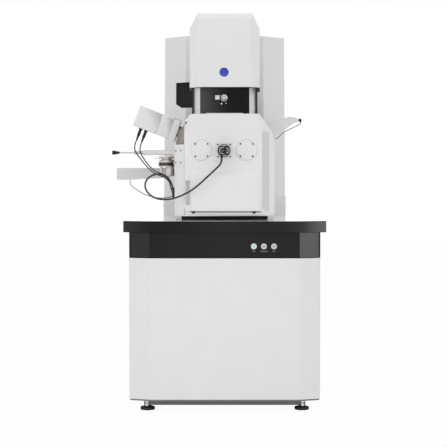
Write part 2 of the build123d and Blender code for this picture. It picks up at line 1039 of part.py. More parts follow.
def front_port_flanges():
    """The two blanking flanges and, between them, the bored camera flange."""
    left = port_flange(port_left_x, port_height, port_radius, port_bore_radius)
    right = port_flange(port_right_x, port_height, port_radius, port_bore_radius)
    middle = port_flange(camera_x, eye_height, camera_flange_radius, camera_bore_radius)
    lens_hole = camera_lens_radius - port_flange_thickness + slide_clearance
    middle -= round_bar((camera_x, 0, eye_height), (0, 1, 0), lens_hole, chamber_front)
    return left, middle, right


def camera_front():
    """The front of the camera body."""
    return cover_front - port_proud - camera_body_length


def chamber_camera():
    """The chamber camera: a round lens barrel, a square body and the plug under it."""
    back = cover_front - port_proud
    middle_y = camera_front() + camera_body_length / 2
    body = block(
        camera_x - camera_body_width / 2,
        camera_x + camera_body_width / 2,
        camera_front(),
        back - port_flange_thickness,
        eye_height - camera_body_height / 2,
        eye_height + camera_body_height / 2,
    )
    body = fillet(body.edges().filter_by(Axis.Y), cover_rounding)
    barrel = (camera_x, back - port_flange_thickness, eye_height)
    body += round_bar(barrel, (0, 1, 0), camera_lens_radius, port_flange_thickness)
    reach = door_plate_back - back
    barrel = (camera_x, back, eye_height)
    body += round_bar(barrel, (0, 1, 0), camera_lens_radius - port_flange_thickness, reach)
    plug_top = (camera_x - camera_body_width / 4, middle_y, eye_height - camera_body_height / 2)
    return body + round_bar(plug_top, (0, 0, -1), camera_plug_radius, camera_plug_length)


def door_plate():
    """The door plate with its ports, the Z rails on its back and the bar that holds the guide rods."""
    front = door_plate_front
    back = door_plate_back
    plate = block(door_plate_left, door_plate_right, front, back, door_plate_bottom, door_plate_top)
    plate = fillet(plate.edges().filter_by(Axis.Y), base_plate_corner)
    bar_left = door_left + cover_sheet
    bar_right = cover_right_corner - cover_sheet
    bar_back = base_plate_front - seat_gap
    bar_top = door_bar_bottom + door_bar_height
    plate += block(bar_left, bar_right, door_bar_front, bar_back, door_bar_bottom, bar_top)
    web_top = door_plate_bottom + base_plate_corner
    plate += block(door_plate_left, door_plate_right, front, bar_back, bar_top - 1, web_top)
    for x in (port_left_x, port_right_x):
        plate -= round_bar((x, front, port_height), (0, 1, 0), port_bore_radius, door_plate_thickness)
    plate -= round_bar((camera_x, front, eye_height), (0, 1, 0), camera_bore_radius, door_plate_thickness)
    for side in (-1, 1):
        x = side * z_rail_spacing / 2
        half = rail_width / 2
        plate += block(x - half, x + half, back, back + z_rail_depth, z_rail_low, z_rail_high)
    for x in guide_rod_places():
        start = (x, door_bar_front, guide_rod_height)
        plate -= round_bar(start, (0, 1, 0), guide_rod_radius, bar_back - door_bar_front)
    return plate


def guide_rods():
    """Two steel rods that carry the door and slide in the base plate."""
    return [
        round_bar(
            (x, door_bar_front - guide_rod_proud, guide_rod_height), (0, 1, 0), guide_rod_radius, guide_rod_length
        )
        for x in guide_rod_places()
    ]


# Stage

arm_bottom = z_plate_low
arm_top = arm_bottom + arm_thickness
y_rail_top = arm_top + rail_height
y_plate_bottom = arm_top + carriage_drop
y_plate_top = y_plate_bottom + y_plate_thickness
x_rail_top = y_plate_top + rail_height
x_plate_bottom = y_plate_top + carriage_drop
x_plate_top = x_plate_bottom + x_plate_thickness
z_plate_front = door_plate_back + carriage_drop
z_plate_back = z_plate_front + z_plate_thickness


def z_carriage():
    """The upright plate on the door's rails, with the arm that reaches under the column."""
    half = z_plate_width / 2
    plate = block(-half, half, z_plate_front, z_plate_back, z_plate_low, z_plate_low + z_plate_height)
    arm_half = arm_width / 2
    plate += block(-arm_half, arm_half, z_plate_back, arm_rear, arm_bottom, arm_top)
    web = [
        (z_plate_back, arm_top),
        (z_plate_back + gusset / 2, arm_top),
        (z_plate_back, arm_top + gusset),
    ]
    for side in (-1, 1):
        outer = side * arm_half
        inner = side * (arm_half - rail_width)
        plate += run_across(web, min(outer, inner), max(outer, inner))
        x = side * z_rail_spacing / 2
        slot = rail_width / 2 + slide_clearance
        depth = door_plate_back + z_rail_depth + slide_clearance
        plate -= block(x - slot, x + slot, z_plate_front, depth, 0, 2 * z_plate_low)
        x = side * y_rail_spacing / 2
        plate += block(x - rail_width / 2, x + rail_width / 2, y_rail_front, arm_rear, arm_top, y_rail_top)
    return plate


def y_carriage():
    """The front-to-back slide, slotted for its rails and carrying the cross rails."""
    half = y_plate_width / 2
    front = column_y - y_plate_length / 2
    rear = column_y + y_plate_length / 2
    plate = block(-half, half, front, rear, y_plate_bottom, y_plate_top)
    slot = rail_width / 2 + slide_clearance
    for side in (-1, 1):
        x = side * y_rail_spacing / 2
        plate -= block(x - slot, x + slot, front, rear, 0, y_rail_top + slide_clearance)
        y = column_y + side * x_rail_spacing / 2
        plate += block(-half, half, y - rail_width / 2, y + rail_width / 2, y_plate_top, x_rail_top)
    return plate


def x_carriage():
    """The cross slide, with the two ears that hold the tilting cradle."""
    half = x_plate_width / 2
    front = column_y - x_plate_length / 2
    rear = column_y + x_plate_length / 2
    plate = block(-half, half, front, rear, x_plate_bottom, x_plate_top)
    slot = rail_width / 2 + slide_clearance
    for side in (-1, 1):
        y = column_y + side * x_rail_spacing / 2
        plate -= block(-half, half, y - slot, y + slot, 0, x_rail_top + slide_clearance)
        near = column_y + side * ear_inner
        far = near + side * ear_thickness
        low, high = min(near, far), max(near, far)
        plate += block(-ear_radius, ear_radius, low, high, x_plate_top, tilt_axis_height)
        plate += round_bar((0, low, tilt_axis_height), (0, 1, 0), ear_radius, ear_thickness)
        plate -= round_bar(
            (0, low, tilt_axis_height), (0, 1, 0), trunnion_radius + turning_clearance, ear_thickness
        )
    return plate


def tilt_cradle():
    """The tilting cradle with its two trunnions and the bore for the table's shaft."""
    top = tilt_axis_height
    cradle = block(
        -cradle_half_width,
        cradle_half_width,
        column_y - cradle_length / 2,
        column_y + cradle_length / 2,
        top - cradle_thickness,
        top,
    )
    boss_reach = ear_inner - slide_clearance
    length = boss_reach - cradle_length / 2 + rail_height
    for side in (-1, 1):
        start = (0, column_y + side * (boss_reach - length), top)
        cradle += round_bar(start, (0, side, 0), cradle_boss_radius, length)
        start = (0, column_y + side * (boss_reach - 1), top)
        cradle += round_bar(start, (0, side, 0), trunnion_radius, ear_thickness + 1)
    reach = table_radius + 1
    cradle -= block(-table_radius, table_radius, column_y - reach, column_y + reach, top, cover_top)
    bore = table_shaft_radius + turning_clearance
    start = (0, column_y, top - 2 * cradle_thickness)
    return cradle - round_bar(start, (0, 0, 1), bore, 3 * cradle_thickness)


def rotation_table():
    """The round specimen table, drilled for one stub in the middle and a ring of eight."""
    low = tilt_axis_height + table_lift
    high = low + table_thickness
    shaft_low = tilt_axis_height - cradle_thickness
    table = turned(
        [
            (0, shaft_low),
            (table_shaft_radius, shaft_low),
            (table_shaft_radius, low),
            (table_radius - slab_edge, low),
            (table_radius, low + slab_edge),
            (table_radius, high - slab_edge),
            (table_radius - slab_edge, high),
            (0, high),
        ],
        0,
        column_y,
    )
    depth = stub_hole_depth
    table -= round_bar((0, column_y, high - depth), (0, 0, 1), stub_hole_radius, depth)
    for i in range(stub_ring_count):
        angle = radians(i * 360 / stub_ring_count)
        x = stub_ring_diameter / 2 * cos(angle)
        y = column_y + stub_ring_diameter / 2 * sin(angle)
        table -= round_bar((x, y, high - depth), (0, 0, 1), stub_hole_radius, depth)
    return table


# Column

def objective_lens():
    """The objective lens: a flange on the chamber's roof and a cone down to the specimen."""
    flange_top = chamber_top + lens_flange_thickness
    body = lens_bore_radius - slide_clearance
    return turned(
        [
            (lens_tip_bore, flange_top),
            (lens_flange_radius, flange_top),
            (lens_flange_radius, chamber_top),
            (body, chamber_top),
            (body, cavity_roof),
            (lens_tip_radius, lens_tip_height),
            (lens_tip_bore, lens_tip_height),
        ],
        0,
        column_y,
    )


def column_tube():
    """The column between the lens and the gun, with the condenser coils round it."""
    low = chamber_top + lens_flange_thickness
    step = (tube_top - low - condenser_height) / 2 - housing_lip
    return turned(
        [
            (lens_tip_bore, low),
            (tube_radius, low),
            (tube_radius, low + step),
            (condenser_radius, low + step),
            (condenser_radius, low + step + condenser_height),
            (tube_radius, low + step + condenser_height),
            (tube_radius, tube_top),
            (lens_tip_bore, tube_top),
        ],
        0,
        column_y,
    )


def electron_gun():
    """The electron gun on top of the column, closed by a stepped dome."""
    shoulder = tube_top + gun_height / 2
    return turned(
        [
            (0, tube_top),
            (gun_radius + housing_lip, tube_top),
            (gun_radius + housing_lip, tube_top + housing_lip),
            (gun_radius, tube_top + housing_lip),
            (gun_radius, shoulder),
            (gun_dome_radius, shoulder + gun_radius - gun_dome_radius),
            (gun_dome_radius, tube_top + gun_height),
            (0, tube_top + gun_height),
        ],
        0,
        column_y,
    )


def gun_cover_outline():
    """The gun cover in plan, with its deep corner bevels."""
    half = gun_cover_half_width
    face = half - gun_cover_corner_width
    front = gun_cover_front
    rear = gun_cover_rear
    depth = gun_cover_corner_depth
    return [
        (-half, front + depth),
        (-face, front),
        (face, front),
        (half, front + depth),
        (half, rear - depth),
        (face, rear),
        (-face, rear),
        (-half, rear - depth),
    ]


def gun_cover_form(inset):
    """The gun cover as a closed form: bevelled corners, sloping shoulders and brow."""
    low = gun_cover_bottom
    top = gun_cover_top - inset
    half = gun_cover_half_width
    rounding = gun_cover_rounding - inset
    form = stand(gun_cover_outline(), low, top, inset, rounding)
    for side in (-1, 1):
        slope = Vector(side * (gun_cover_top - gun_cover_shoulder), 0, half - gun_cover_top_half).normalized()
        form = cut_by_plane(form, Vector(side * half, 0, gun_cover_shoulder) - slope * inset, slope)
        rise = gun_cover_top - gun_cover_brow
        slope = Vector(0, side * rise, gun_cover_brow_depth).normalized()
        edge_y = gun_cover_rear if side > 0 else gun_cover_front
        form = cut_by_plane(form, Vector(0, edge_y, gun_cover_brow) - slope * inset, slope)
    return form


def gun_cover():
    """The white cover over the electron gun, open below."""
    outer = gun_cover_form(0)
    top = outer.faces().sort_by(Axis.Z)[-1]
    outer = fillet(top.edges(), gun_cover_sheet)
    return outer - gun_cover_form(gun_cover_sheet)


def column_housing():
    """The dark housing round the column, its flange under the gun cover and its aperture ring."""
    half = housing_half
    low = platform_top
    high = gun_cover_bottom + housing_lip
    outer = block(-half, half, housing_front, housing_rear, low, high)
    wall = housing_sheet
    flange = stand(gun_cover_outline(), high - housing_lip / 2, high, gun_cover_sheet + seat_gap)
    solid = outer + flange
    solid -= block(-half + wall, half - wall, housing_front + wall, housing_rear - wall, low, high)
    front = housing_front - aperture_ring_proud
    ring_start = (camera_x, front, aperture_height)
    solid += round_bar(ring_start, (0, 1, 0), aperture_ring_radius, aperture_ring_proud)
    solid -= round_bar(ring_start, (0, 1, 0), aperture_ring_bore, aperture_ring_proud)
    stem_hole = aperture_stem_radius + turning_clearance
    return solid - round_bar(ring_start, (0, 1, 0), stem_hole, aperture_ring_proud + 2 * wall)


def aperture_knob():
    """The aperture's knob, turning on a stem through the housing's front."""
    front = housing_front - aperture_knob_length
    edge = slab_edge
    return turned_along(
        [
            (0, 0),
            (aperture_knob_radius - edge, 0),
            (aperture_knob_radius, edge),
            (aperture_knob_radius, aperture_knob_length - seat_gap),
            (aperture_stem_radius, aperture_knob_length - seat_gap),
            (aperture_stem_radius, aperture_knob_length + 2 * housing_sheet),
            (0, aperture_knob_length + 2 * housing_sheet),
        ],
        (camera_x, front, aperture_height),
        (0, 1, 0),
    )


def side_trim():
    """The right-hand grey corner profile beside the housing."""
    inner = housing_half + seat_gap
    outer = inner + trim_width
    front = housing_front + 1
    corner = front + trim_depth
    wall = trim_sheet
    profile = [
        (inner, front),
        (outer, corner),
        (outer, housing_rear),
        (outer - wall, housing_rear),
        (outer - wall, corner + wall / 2),
        (inner, front + wall * 1.4),
    ]
    return stand(profile, platform_top, gun_cover_bottom - seat_gap)


# Tower

def tower_outline(half):
    """The tower in plan, with its wide front corner bevels."""
    return [
        (-half, tower_rear),
        (-half, tower_front + tower_corner),
        (-half + tower_corner, tower_front),
        (half - tower_corner, tower_front),
        (half, tower_front + tower_corner),
        (half, tower_rear),
    ]


def tower_form(inset, top):
    """The tower's tapered form between its joint and its top."""
    low_face = Pos(0, 0, tower_joint) * plan_face(tower_outline(tower_half_bottom), inset, tower_rounding)
    high_face = Pos(0, 0, top) * plan_face(tower_outline(tower_half_top), inset, tower_rounding)
    return loft([low_face, high_face], ruled=True)


def recess_outline(inset):
    """The window in the tower's front, clipped at its lower left and stepped at its right."""
    left = recess_left + inset
    low = recess_bottom + inset
    return [
        (left, recess_top - inset),
        (left, low + recess_corner_height),
        (left + recess_corner_width, low),
        (recess_step_x - inset, low),
        (recess_step_x - inset, recess_step_z + inset),
        (recess_right - inset, recess_step_z + inset),
        (recess_right - inset, recess_top - inset),
    ]


def tower_cover():
    """The tall white cover behind the column, open at the rear and below."""
    outer = tower_form(0, tower_top)
    inner = tower_form(tower_sheet, tower_top - tower_sheet)
    cover = outer - inner
    open_from = tower_rear - 2 * tower_sheet
    open_to = tower_top - tower_sheet
    cover -= block(-tower_half_bottom, tower_half_bottom, open_from, 2 * tower_rear, 0, open_to)
    front = tower_front - tower_sheet
    return cover - run_back(recess_outline(0), front, tower_front + recess_depth)


def tower_base_cover():
    """The slightly wider lower cover that the tower stands on."""
    outline = tower_outline(tower_base_half)
    outer = stand(outline, slab_top, tower_joint, rounding=tower_rounding)
    inner = stand(outline, slab_top, tower_joint - tower_sheet, tower_sheet, tower_rounding)
    cable_way = stand(outline, slab_top, tower_joint, 8 * tower_sheet)
    return outer - inner - cable_way


def tower_rear_panel():
    """The tower's rear panel with its ventilation slots."""
    half = tower_half_top - tower_sheet - seat_gap
    front = tower_rear - tower_sheet
    top = tower_top - tower_sheet - seat_gap
    panel = block(-half, half, front, tower_rear, tower_joint + seat_gap, top)
    for row in range(rear_vent_rows):
        low = rear_vent_lowest + row * rear_vent_pitch
        panel -= block(
            -rear_vent_width / 2,
            rear_vent_width / 2,
            front - tower_sheet,
            tower_rear + tower_sheet,
            low,
            low + rear_vent_height,
        )
    return panel


def column_support():
    """The black arm that ties the column to the tower, with the lining of the tower's window."""
    front = tower_front + tower_sheet + seat_gap
    back = front + recess_depth
    flange = run_back(recess_outline(-housing_lip), front, front + recess_wall)
    pocket = run_back(recess_outline(-recess_wall), front, back)
    pocket -= run_back(recess_outline(0), front - recess_wall, back - recess_wall)
    support = flange - run_back(recess_outline(0), front - recess_wall, back - recess_wall) + pocket
    support = support & tower_form(tower_sheet + seat_gap, tower_top - 2 * tower_sheet)
    plate_back = housing_rear + bracket_thickness
    support += block(-arm_half_width, arm_half_width, plate_back, back, arm_low, arm_high)
    gap = seat_gap
    plate_top_z = gun_cover_bottom - gap
    return support + block(
        bracket_left, bracket_right, housing_rear + gap, plate_back + gap, platform_top + gap, plate_top_z
    )


# Detectors

def left_plane():
    """The left detector's own plane: X outwards along its axis, Z across it."""
    origin = Vector(left_face_x, column_y, left_face_z)
    across = Vector(sin(left_lean), 0, cos(left_lean))
    return Plane(origin=origin, x_dir=left_axis(), z_dir=across)


def left_detector_section(start, length):
    """One section of the left detector's white housing, with soft edges."""
    section = Box(length, left_section_depth, left_section_height)
    section = fillet(section.edges(), left_rounding)
    return left_plane() * (Pos(start + length / 2, 0, 0) * section)


def left_detector_housing():
    """The two sections of the left detector's housing, a seam apart."""
    front = left_detector_section(0, left_front_length)
    rear = left_detector_section(left_front_length + seat_gap, left_rear_length)
    return front, rear


def left_detector_nose():
    """The metal nose: a flange at the housing and a tube that reaches into the chamber."""
    origin = Vector(left_face_x, column_y, left_face_z)
    tip = nose_radius / 2
    return turned_along(
        [
            (0, 0),
            (nose_flange_radius, 0),
            (nose_flange_radius, nose_flange_thickness),
            (nose_radius, nose_flange_thickness),
            (nose_radius, nose_reach - nose_radius),
            (tip, nose_reach),
            (0, nose_reach),
        ],
        origin,
        -left_axis(),
    )


def detector_connectors():
    """Two round connectors under the left detector, with their plugs."""
    pieces = []
    for place_along in connector_places:
        local = turned(
            [
                (0, 0),
                (connector_radius + 2, 0),
                (connector_radius + 2, 6),
                (connector_radius, 6),
                (connector_radius, connector_length * 0.6),
                (connector_radius - 1.5, connector_length * 0.65),
                (connector_radius - 3, connector_length),
                (0, connector_length),
            ],
            0,
            0,
        )
        place_under = Pos(place_along, 0, -left_section_height / 2) * Rot(180, 0, 0)
        pieces.append(left_plane() * (place_under * local))
    return pieces


def connector_end(place_along):
    """The point where a cord leaves one of the left detector's connectors."""
    local = Pos(place_along, 0, -left_section_height / 2 - connector_length)
    return (left_plane() * local * Vertex(0, 0, 0)).center()


def under_connector(end):
    """The first bend of a cord, straight below its connector."""
    run = 3 * detector_cord_diameter
    return (end.X - run * sin(left_lean), end.Y, end.Z - run * cos(left_lean))


def right_detector_outline():
    """The right detector's housing seen from the front."""
    return [
        (180, 1214),
        (205, 1232),
        (235, 1229.5),
        (281, 1244),
        (308, 1240),
        (right_tip_x, 1236),
        (right_tip_x, 1223),
        (303, 1217.5),
        (281.5, 1202.5),
        (250, 1178.5),
        (216.5, 1159.5),
        (180, 1159.5),
    ]


def right_detector():
    """The right detector: a tapered housing on the chamber's shoulder with a tube inside."""
    origin = Vector(right_face_x, column_y, right_face_z)
    half = right_depth / 2
    tip_half = right_tip_depth / 2
    body = run_back(right_detector_outline(), column_y - half, column_y + half)
    body = body & stand(
        [
            (right_nose_reach, column_y - half),
            (right_taper_start, column_y - half),
            (right_tip_x, column_y - tip_half),
            (right_tip_x, column_y + tip_half),
            (right_taper_start, column_y + half),
            (right_nose_reach, column_y + half),
        ],
        plate_top,
        2 * plate_top,
    )
    body = body - hood_solid(-seat_gap)
    nose = round_bar(origin, -right_axis(), right_nose_radius, right_nose_reach)
    return body + nose + round_bar(origin, right_axis(), right_nose_radius, right_stub_reach)


def right_detector_plug():
    """The angled plug on the right detector's tip."""
    start = (right_tip_x, column_y, right_plug_height)
    plug = round_bar(start, (1, 0, 0), right_plug_radius, right_plug_length)
    elbow = (right_plug_end.X, right_plug_end.Y, right_plug_height)
    return plug + round_bar(elbow, (0, 0, -1), right_elbow_radius, right_elbow_length)


def rod_support_bar():
    """The bar and sleeve that guide the retractable detector's rod, flanged to the casting."""
    casting = -chamber_half_width
    half = bar_flange_size / 2
    flange_start = casting - bar_flange_thickness
    bar = block(
        bar_start,
        flange_start,
        column_y - bar_depth / 2,
        column_y + bar_depth / 2,
        rod_height - bar_height / 2,
        rod_height + bar_height / 2,
    )
    bar = chamfer(bar.edges().filter_by(Axis.X), slab_edge)
    bar += round_bar((sleeve_start, column_y, rod_height), (1, 0, 0), sleeve_radius, bar_start - sleeve_start)
    bar += block(
        flange_start, casting, column_y - half, column_y + half, rod_height - half, rod_height + half
    )
    start = (sleeve_start, column_y, rod_height)
    return bar - round_bar(start, (1, 0, 0), rod_radius + turning_clearance, casting - sleeve_start)


def detector_rod():
    """The retractable detector's rod and its flared black handle."""
    handle_end = rod_handle_start + rod_handle_length
    handle = turned_along(
        [
            (0, 0),
            (rod_handle_radius - slab_edge, 0),
            (rod_handle_radius, slab_edge),
            (rod_handle_radius, rod_handle_length / 4),
            (rod_handle_neck, rod_handle_length - slab_edge),
            (rod_handle_neck - slab_edge, rod_handle_length),
            (0, rod_handle_length),
        ],
        (rod_handle_start, column_y, rod_height),
        (1, 0, 0),
    )
    rod = round_bar((handle_end, column_y, rod_height), (1, 0, 0), rod_radius, rod_inner_end - handle_end)
    return handle, rod


def port_valve():
    """The vent valve: a stack of plates and waists on a pipe from the casting."""
    low = valve_bottom
    body = turned(
        [
            (0, low),
            (valve_radius, low),
            (valve_radius, low + valve_black_height),
            (valve_waist, low + valve_black_height),
            (valve_waist, low + 22),
            (valve_radius - 4, low + 22),
            (valve_radius - 4, low + 29),
            (valve_waist, low + 29),
            (valve_waist, low + 33),
            (valve_radius, low + 33),
            (valve_radius, low + 36),
            (valve_waist, low + 36),
            (valve_waist, low + 40),
            (valve_radius, low + 40),
            (valve_radius, low + 44),
            (0, low + 44),
        ],
        valve_x,
        column_y,
    )
    pipe_z = low + valve_black_height - valve_pipe_radius / 2
    return body + round_bar(
        (valve_x, column_y, pipe_z), (1, 0, 0), valve_pipe_radius, -chamber_half_width - valve_x
    )


def gauge_head():
    """The vacuum gauge and the thin vent stem under the valve."""
    gauge = turned(
        [
            (0, valve_bottom),
            (gauge_radius, valve_bottom),
            (gauge_radius, valve_bottom - gauge_height + 3),
            (gauge_radius - 3, valve_bottom - gauge_height),
            (0, valve_bottom - gauge_height),
        ],
        gauge_x,
        column_y,
    )
    stem_start = (gauge_stem_x, column_y, valve_bottom)
    return gauge, round_bar(stem_start, (0, 0, -1), gauge_stem_radius, gauge_stem_length)


def x_ray_detector():
    """The long grey box of the X-ray detector, with its neck into the casting."""
    low = xray_bottom
    high = low + xray_height
    outline = [
        (xray_left, low),
        (xray_rise_start, low),
        (xray_right, low + xray_rise),
        (xray_right, high),
        (xray_left, high),
    ]
    box = run_back(outline, xray_y - xray_depth / 2, xray_y + xray_depth / 2)
    box = fillet(box.edges().filter_by(Axis.Y), left_rounding)
    middle = low + (xray_height + xray_rise) / 2
    neck_length = -chamber_half_width - xray_right
    return box + round_bar((xray_right, xray_y, middle), (1, 0, 0), xray_neck_radius, neck_length)


# Cords

def gland_block(y, z, height):
    """A black clamp block on the cover's left side."""
    return block(
        -cover_half_width - gland_reach, -cover_half_width, y, y + gland_length, z - height / 2, z + height / 2
    )


def cable_glands():
    """The clamp blocks on the left, and the round gland on the right."""
    camera = gland_block(camera_gland_y, camera_gland_z, gland_height)
    bundle = gland_block(bundle_gland_y, bundle_gland_z, bundle_gland_height)
    start = (cover_half_width, right_gland_y, right_gland_z)
    return camera, bundle, round_bar(start, (1, 0, 0), right_gland_radius, right_gland_length)


def cord(name, points, diameter):
    """A free cord: straight runs joined by arcs as large as the runs allow."""
    route = [Vector(*point) for point in points]
    radii = []
    for before, here, after in zip(route, route[1:], route[2:]):
        turn = radians((here - before).get_angle(after - here))
        shorter = min((here - before).length, (after - here).length)
        radii.append(0.45 * shorter / tan(turn / 2))
    path = FilletPolyline(*route, radius=radii)
    start = Plane(origin=route[0], z_dir=route[1] - route[0])
    tube = sweep(start * Circle(diameter / 2), path=path)
    section = 3.14159265 * diameter**2 / 4
    steps = [round((b - a).length, 1) for a, b in zip(route, route[1:])]
    print(name, "radii", [round(radius, 1) for radius in radii])
    print(name, "runs", steps)
    print(name, "length", round(path.length, 1), "volume ratio", round(tube.volume / section / path.length, 4))
    return tube


right_plug_end = Vector(
    right_tip_x + right_plug_length - right_elbow_radius - seat_gap,
    column_y,
    right_plug_height - right_elbow_length,
)
camera_middle_y = camera_front() + camera_body_length / 2
camera_exit_x = camera_x - camera_body_width / 4
camera_exit = (
    camera_exit_x,
    camera_middle_y,
    eye_height - camera_body_height / 2 - camera_plug_length,
)
camera_route = [
    camera_exit,
    (camera_exit_x, camera_middle_y, 1047),
    (-22, 94, 1031),
    (-38, 91, 1016),
    (-58, 89, 997),
    (-83, 87, 974),
    (-111, 87, 948),
    (-143, 90, 924),
    (-180, 101, 905),
    (-217, 124, 891),
    (-254, 147, 886),
    (-290, 168, 890),
    (-321, 184, 906),
    (-340, 193, 932),
    (-340, 199, 962),
    (-321, 204, 985),
    (-292, 209, 996),
    (-262, 215, 992),
    (-239, 225, 974),
    (-227, 239, 949),
    (-223, 253, 931),
    (-222, 264, camera_gland_z),
    (-222, camera_gland_y, camera_gland_z),
]
front_connector = connector_end(connector_places[0])
rear_connector = connector_end(connector_places[1])
detector_route_front = [
    (front_connector.X, front_connector.Y, front_connector.Z),
    under_connector(front_connector),
    (-371, 329, 1099),
    (-362, 322, 1076),
    (-345, 314, 1050),
    (-325.5, 304, 1026),
    (-303, 296, 1008),
    (-279, 290, 998),
    (-256, 288, 988.5),
    (-238.5, 292, 972.5),
    (-229, 301, 950.5),
    (-223.5, 313, 930),
    (-223, 323, 922),
    (-223, bundle_gland_y, 922),
]
detector_route_rear = [
    (rear_connector.X, rear_connector.Y, rear_connector.Z),
    under_connector(rear_connector),
    (-394, 330, 1112),
    (-389.5, 322, 1092),
    (-376.5, 317, 1073),
    (-357.5, 308, 1050),
    (-336.5, 297, 1024.5),
    (-312.5, 286, 1003),
    (-286, 279, 990),
    (-259, 279, 980),
    (-240, 285, 963),
    (-236.5, 296, 944),
    (-231, 309, 924),
    (-224, 321, 911),
    (-224, bundle_gland_y, 911),
]
xray_route = [
    (-422, xray_y, xray_bottom),
    (-422, xray_y, 955),
    (-414, 442, 940),
    (-405, 433, 933),
    (-391, 420, 927),
    (-372, 399, 914),
    (-348, 374, 903),
    (-320, 350, 895),
    (-290, 332, 890),
    (-262, 322, 889),
    (-243, 316, 893),
    (-231, 317, 897),
    (-225, bundle_gland_y - 8, 899),
    (-225, bundle_gland_y, 899),
]
right_route = [
    (right_plug_end.X, right_plug_end.Y, right_plug_end.Z),
    (right_plug_end.X, right_plug_end.Y, right_plug_end.Z - 6),
    (321, 339, 1207.5),
    (311, 337.5, 1203),
    (295, 335.5, 1195.5),
    (275, 333.8, 1185.5),
    (257, 332.3, 1176.5),
    (244, 331.2, 1166),
    (236, 330.5, 1156),
    (229.5, right_gland_y, right_gland_z),
    (cover_half_width + right_gland_length, right_gland_y, right_gland_z),
]


os.makedirs("parts", exist_ok=True)
save("base_frame", base_frame())
save("frame_posts", *[frame_post(x, y) for x, y in post_places()])
save("front_panel", folded_front(panel_bottom, slab_bottom - fascia_height - fascia_gap))
save("side_panels", side_panel(), mirror_x(side_panel()))
save("rear_panel", rear_panel())
save("fascia", fascia())
save("bench_slab", bench_slab())
save("electronics_crate", electronics_crate())
save("turbo_pump", turbo_pump())
save("isolation_mounts", *isolation_mounts())
save("base_plate", base_plate())
save("chamber_skirt", *skirt_strips())
save("chamber_body", chamber_body())
save("chamber_cover", chamber_cover())
save("side_port_flange", side_port_flange())
save("objective_lens", objective_lens())
save("column_tube", column_tube())
save("electron_gun", electron_gun())
save("column_housing", column_housing())
save("column_side_trims", side_trim(), mirror_x(side_trim()))
save("gun_cover", gun_cover())
save("tower_cover", tower_cover())
save("tower_base_cover", tower_base_cover())
save("tower_rear_panel", tower_rear_panel())
save("column_support", column_support())
save("left_detector_housing", *left_detector_housing())
save("left_detector_nose", left_detector_nose())
save("detector_connectors", *detector_connectors())
save("rod_support_bar", rod_support_bar())
save("port_valve", port_valve())
save("gauge_head", *gauge_head())
save("x_ray_detector", x_ray_detector())
save("right_detector", right_detector())
save("right_detector_plug", right_detector_plug())
save("cable_glands", *cable_glands())
save("detector_cable_front", cord("front detector cord", detector_route_front, detector_cord_diameter))
save("detector_cable_rear", cord("rear detector cord", detector_route_rear, detector_cord_diameter))
save("x_ray_cable", cord("X-ray detector cord", xray_route, xray_cord_diameter))
save("right_detector_cable", cord("right detector cord", right_route, right_cord_diameter))
for name, (x, y) in foot_places().items():
    save(name, *foot(x, y))
for name, x in zip(("on_button", "standby_button", "off_button"), button_centres):
    save(name, push_button(x))
save("aperture_knob", aperture_knob())
save("detector_rod", *detector_rod())
save("door_plate", door_plate())
save("door_cover", door_cover())
save("drive_cover", drive_cover())
save("front_port_flanges", *front_port_flanges())
save("chamber_camera", chamber_camera())
save("guide_rods", *guide_rods())
save("camera_cable", cord("camera cord", camera_route, camera_cord_diameter))
save("z_carriage", z_carriage())
save("y_carriage", y_carriage())
save("x_carriage", x_carriage())
save("tilt_cradle", tilt_cradle())
save("rotation_table", rotation_table())
print("moved by", round(-origin_x, 3), round(-origin_y, 3))
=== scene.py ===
import json
import math
import bmesh
import bpy
from mathutils import Matrix, Vector


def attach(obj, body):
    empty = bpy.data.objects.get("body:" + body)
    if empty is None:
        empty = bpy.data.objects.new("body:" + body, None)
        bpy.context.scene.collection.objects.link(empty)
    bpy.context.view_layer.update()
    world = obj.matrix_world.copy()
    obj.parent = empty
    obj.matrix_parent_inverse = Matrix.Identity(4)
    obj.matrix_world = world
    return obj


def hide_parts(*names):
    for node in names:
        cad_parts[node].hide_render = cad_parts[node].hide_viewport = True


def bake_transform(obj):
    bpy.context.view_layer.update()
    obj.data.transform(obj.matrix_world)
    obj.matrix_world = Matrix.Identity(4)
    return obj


# Scanning electron microscope on its cabinet. Metres, front of the machine towards -Y.
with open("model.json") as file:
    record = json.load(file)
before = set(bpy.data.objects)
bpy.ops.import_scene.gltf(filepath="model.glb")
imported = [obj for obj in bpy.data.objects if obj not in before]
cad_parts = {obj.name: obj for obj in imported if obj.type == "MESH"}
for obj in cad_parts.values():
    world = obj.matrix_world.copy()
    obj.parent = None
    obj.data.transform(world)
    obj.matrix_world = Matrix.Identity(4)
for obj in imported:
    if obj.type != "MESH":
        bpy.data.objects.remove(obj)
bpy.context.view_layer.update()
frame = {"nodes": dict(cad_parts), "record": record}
nodes = frame["nodes"]
nodeBody = {name: body for body, names in frame["record"]["behaviour"]["bodies"].items() for name in names}
nodeSlot = {part["node"]: part["material_slot"] for part in frame["record"]["subparts"]}
scene = bpy.context.scene
scene.view_settings.view_transform = "Standard"

# The drawings count X from the column's plane and Y from the bench's front edge, in millimetres.
moveX, moveY = 34.55, -500.0


def at(x, y, z):
    return Vector(((x + moveX) / 1000, (y + moveY) / 1000, z / 1000))


# camera, standing where the photographer stood
lens = dict(distance=5.7, height=1.01, side=-0.0052, tilt=2.2, focal=1380.0, image=447.0)

cameraData = bpy.data.cameras.new("photoCamera")
cameraData.sensor_width = 36.0
cameraData.lens = 36.0 * lens["focal"] / lens["image"]
cameraData.clip_end = 60
camera = bpy.data.objects.new("photoCamera", cameraData)
camera.location = (lens["side"] + moveX / 1000, -lens["distance"] + moveY / 1000, lens["height"])
camera.rotation_euler = (math.radians(90 - lens["tilt"]), 0, 0)
scene.collection.objects.link(camera)
scene.camera = camera
print("camera set")


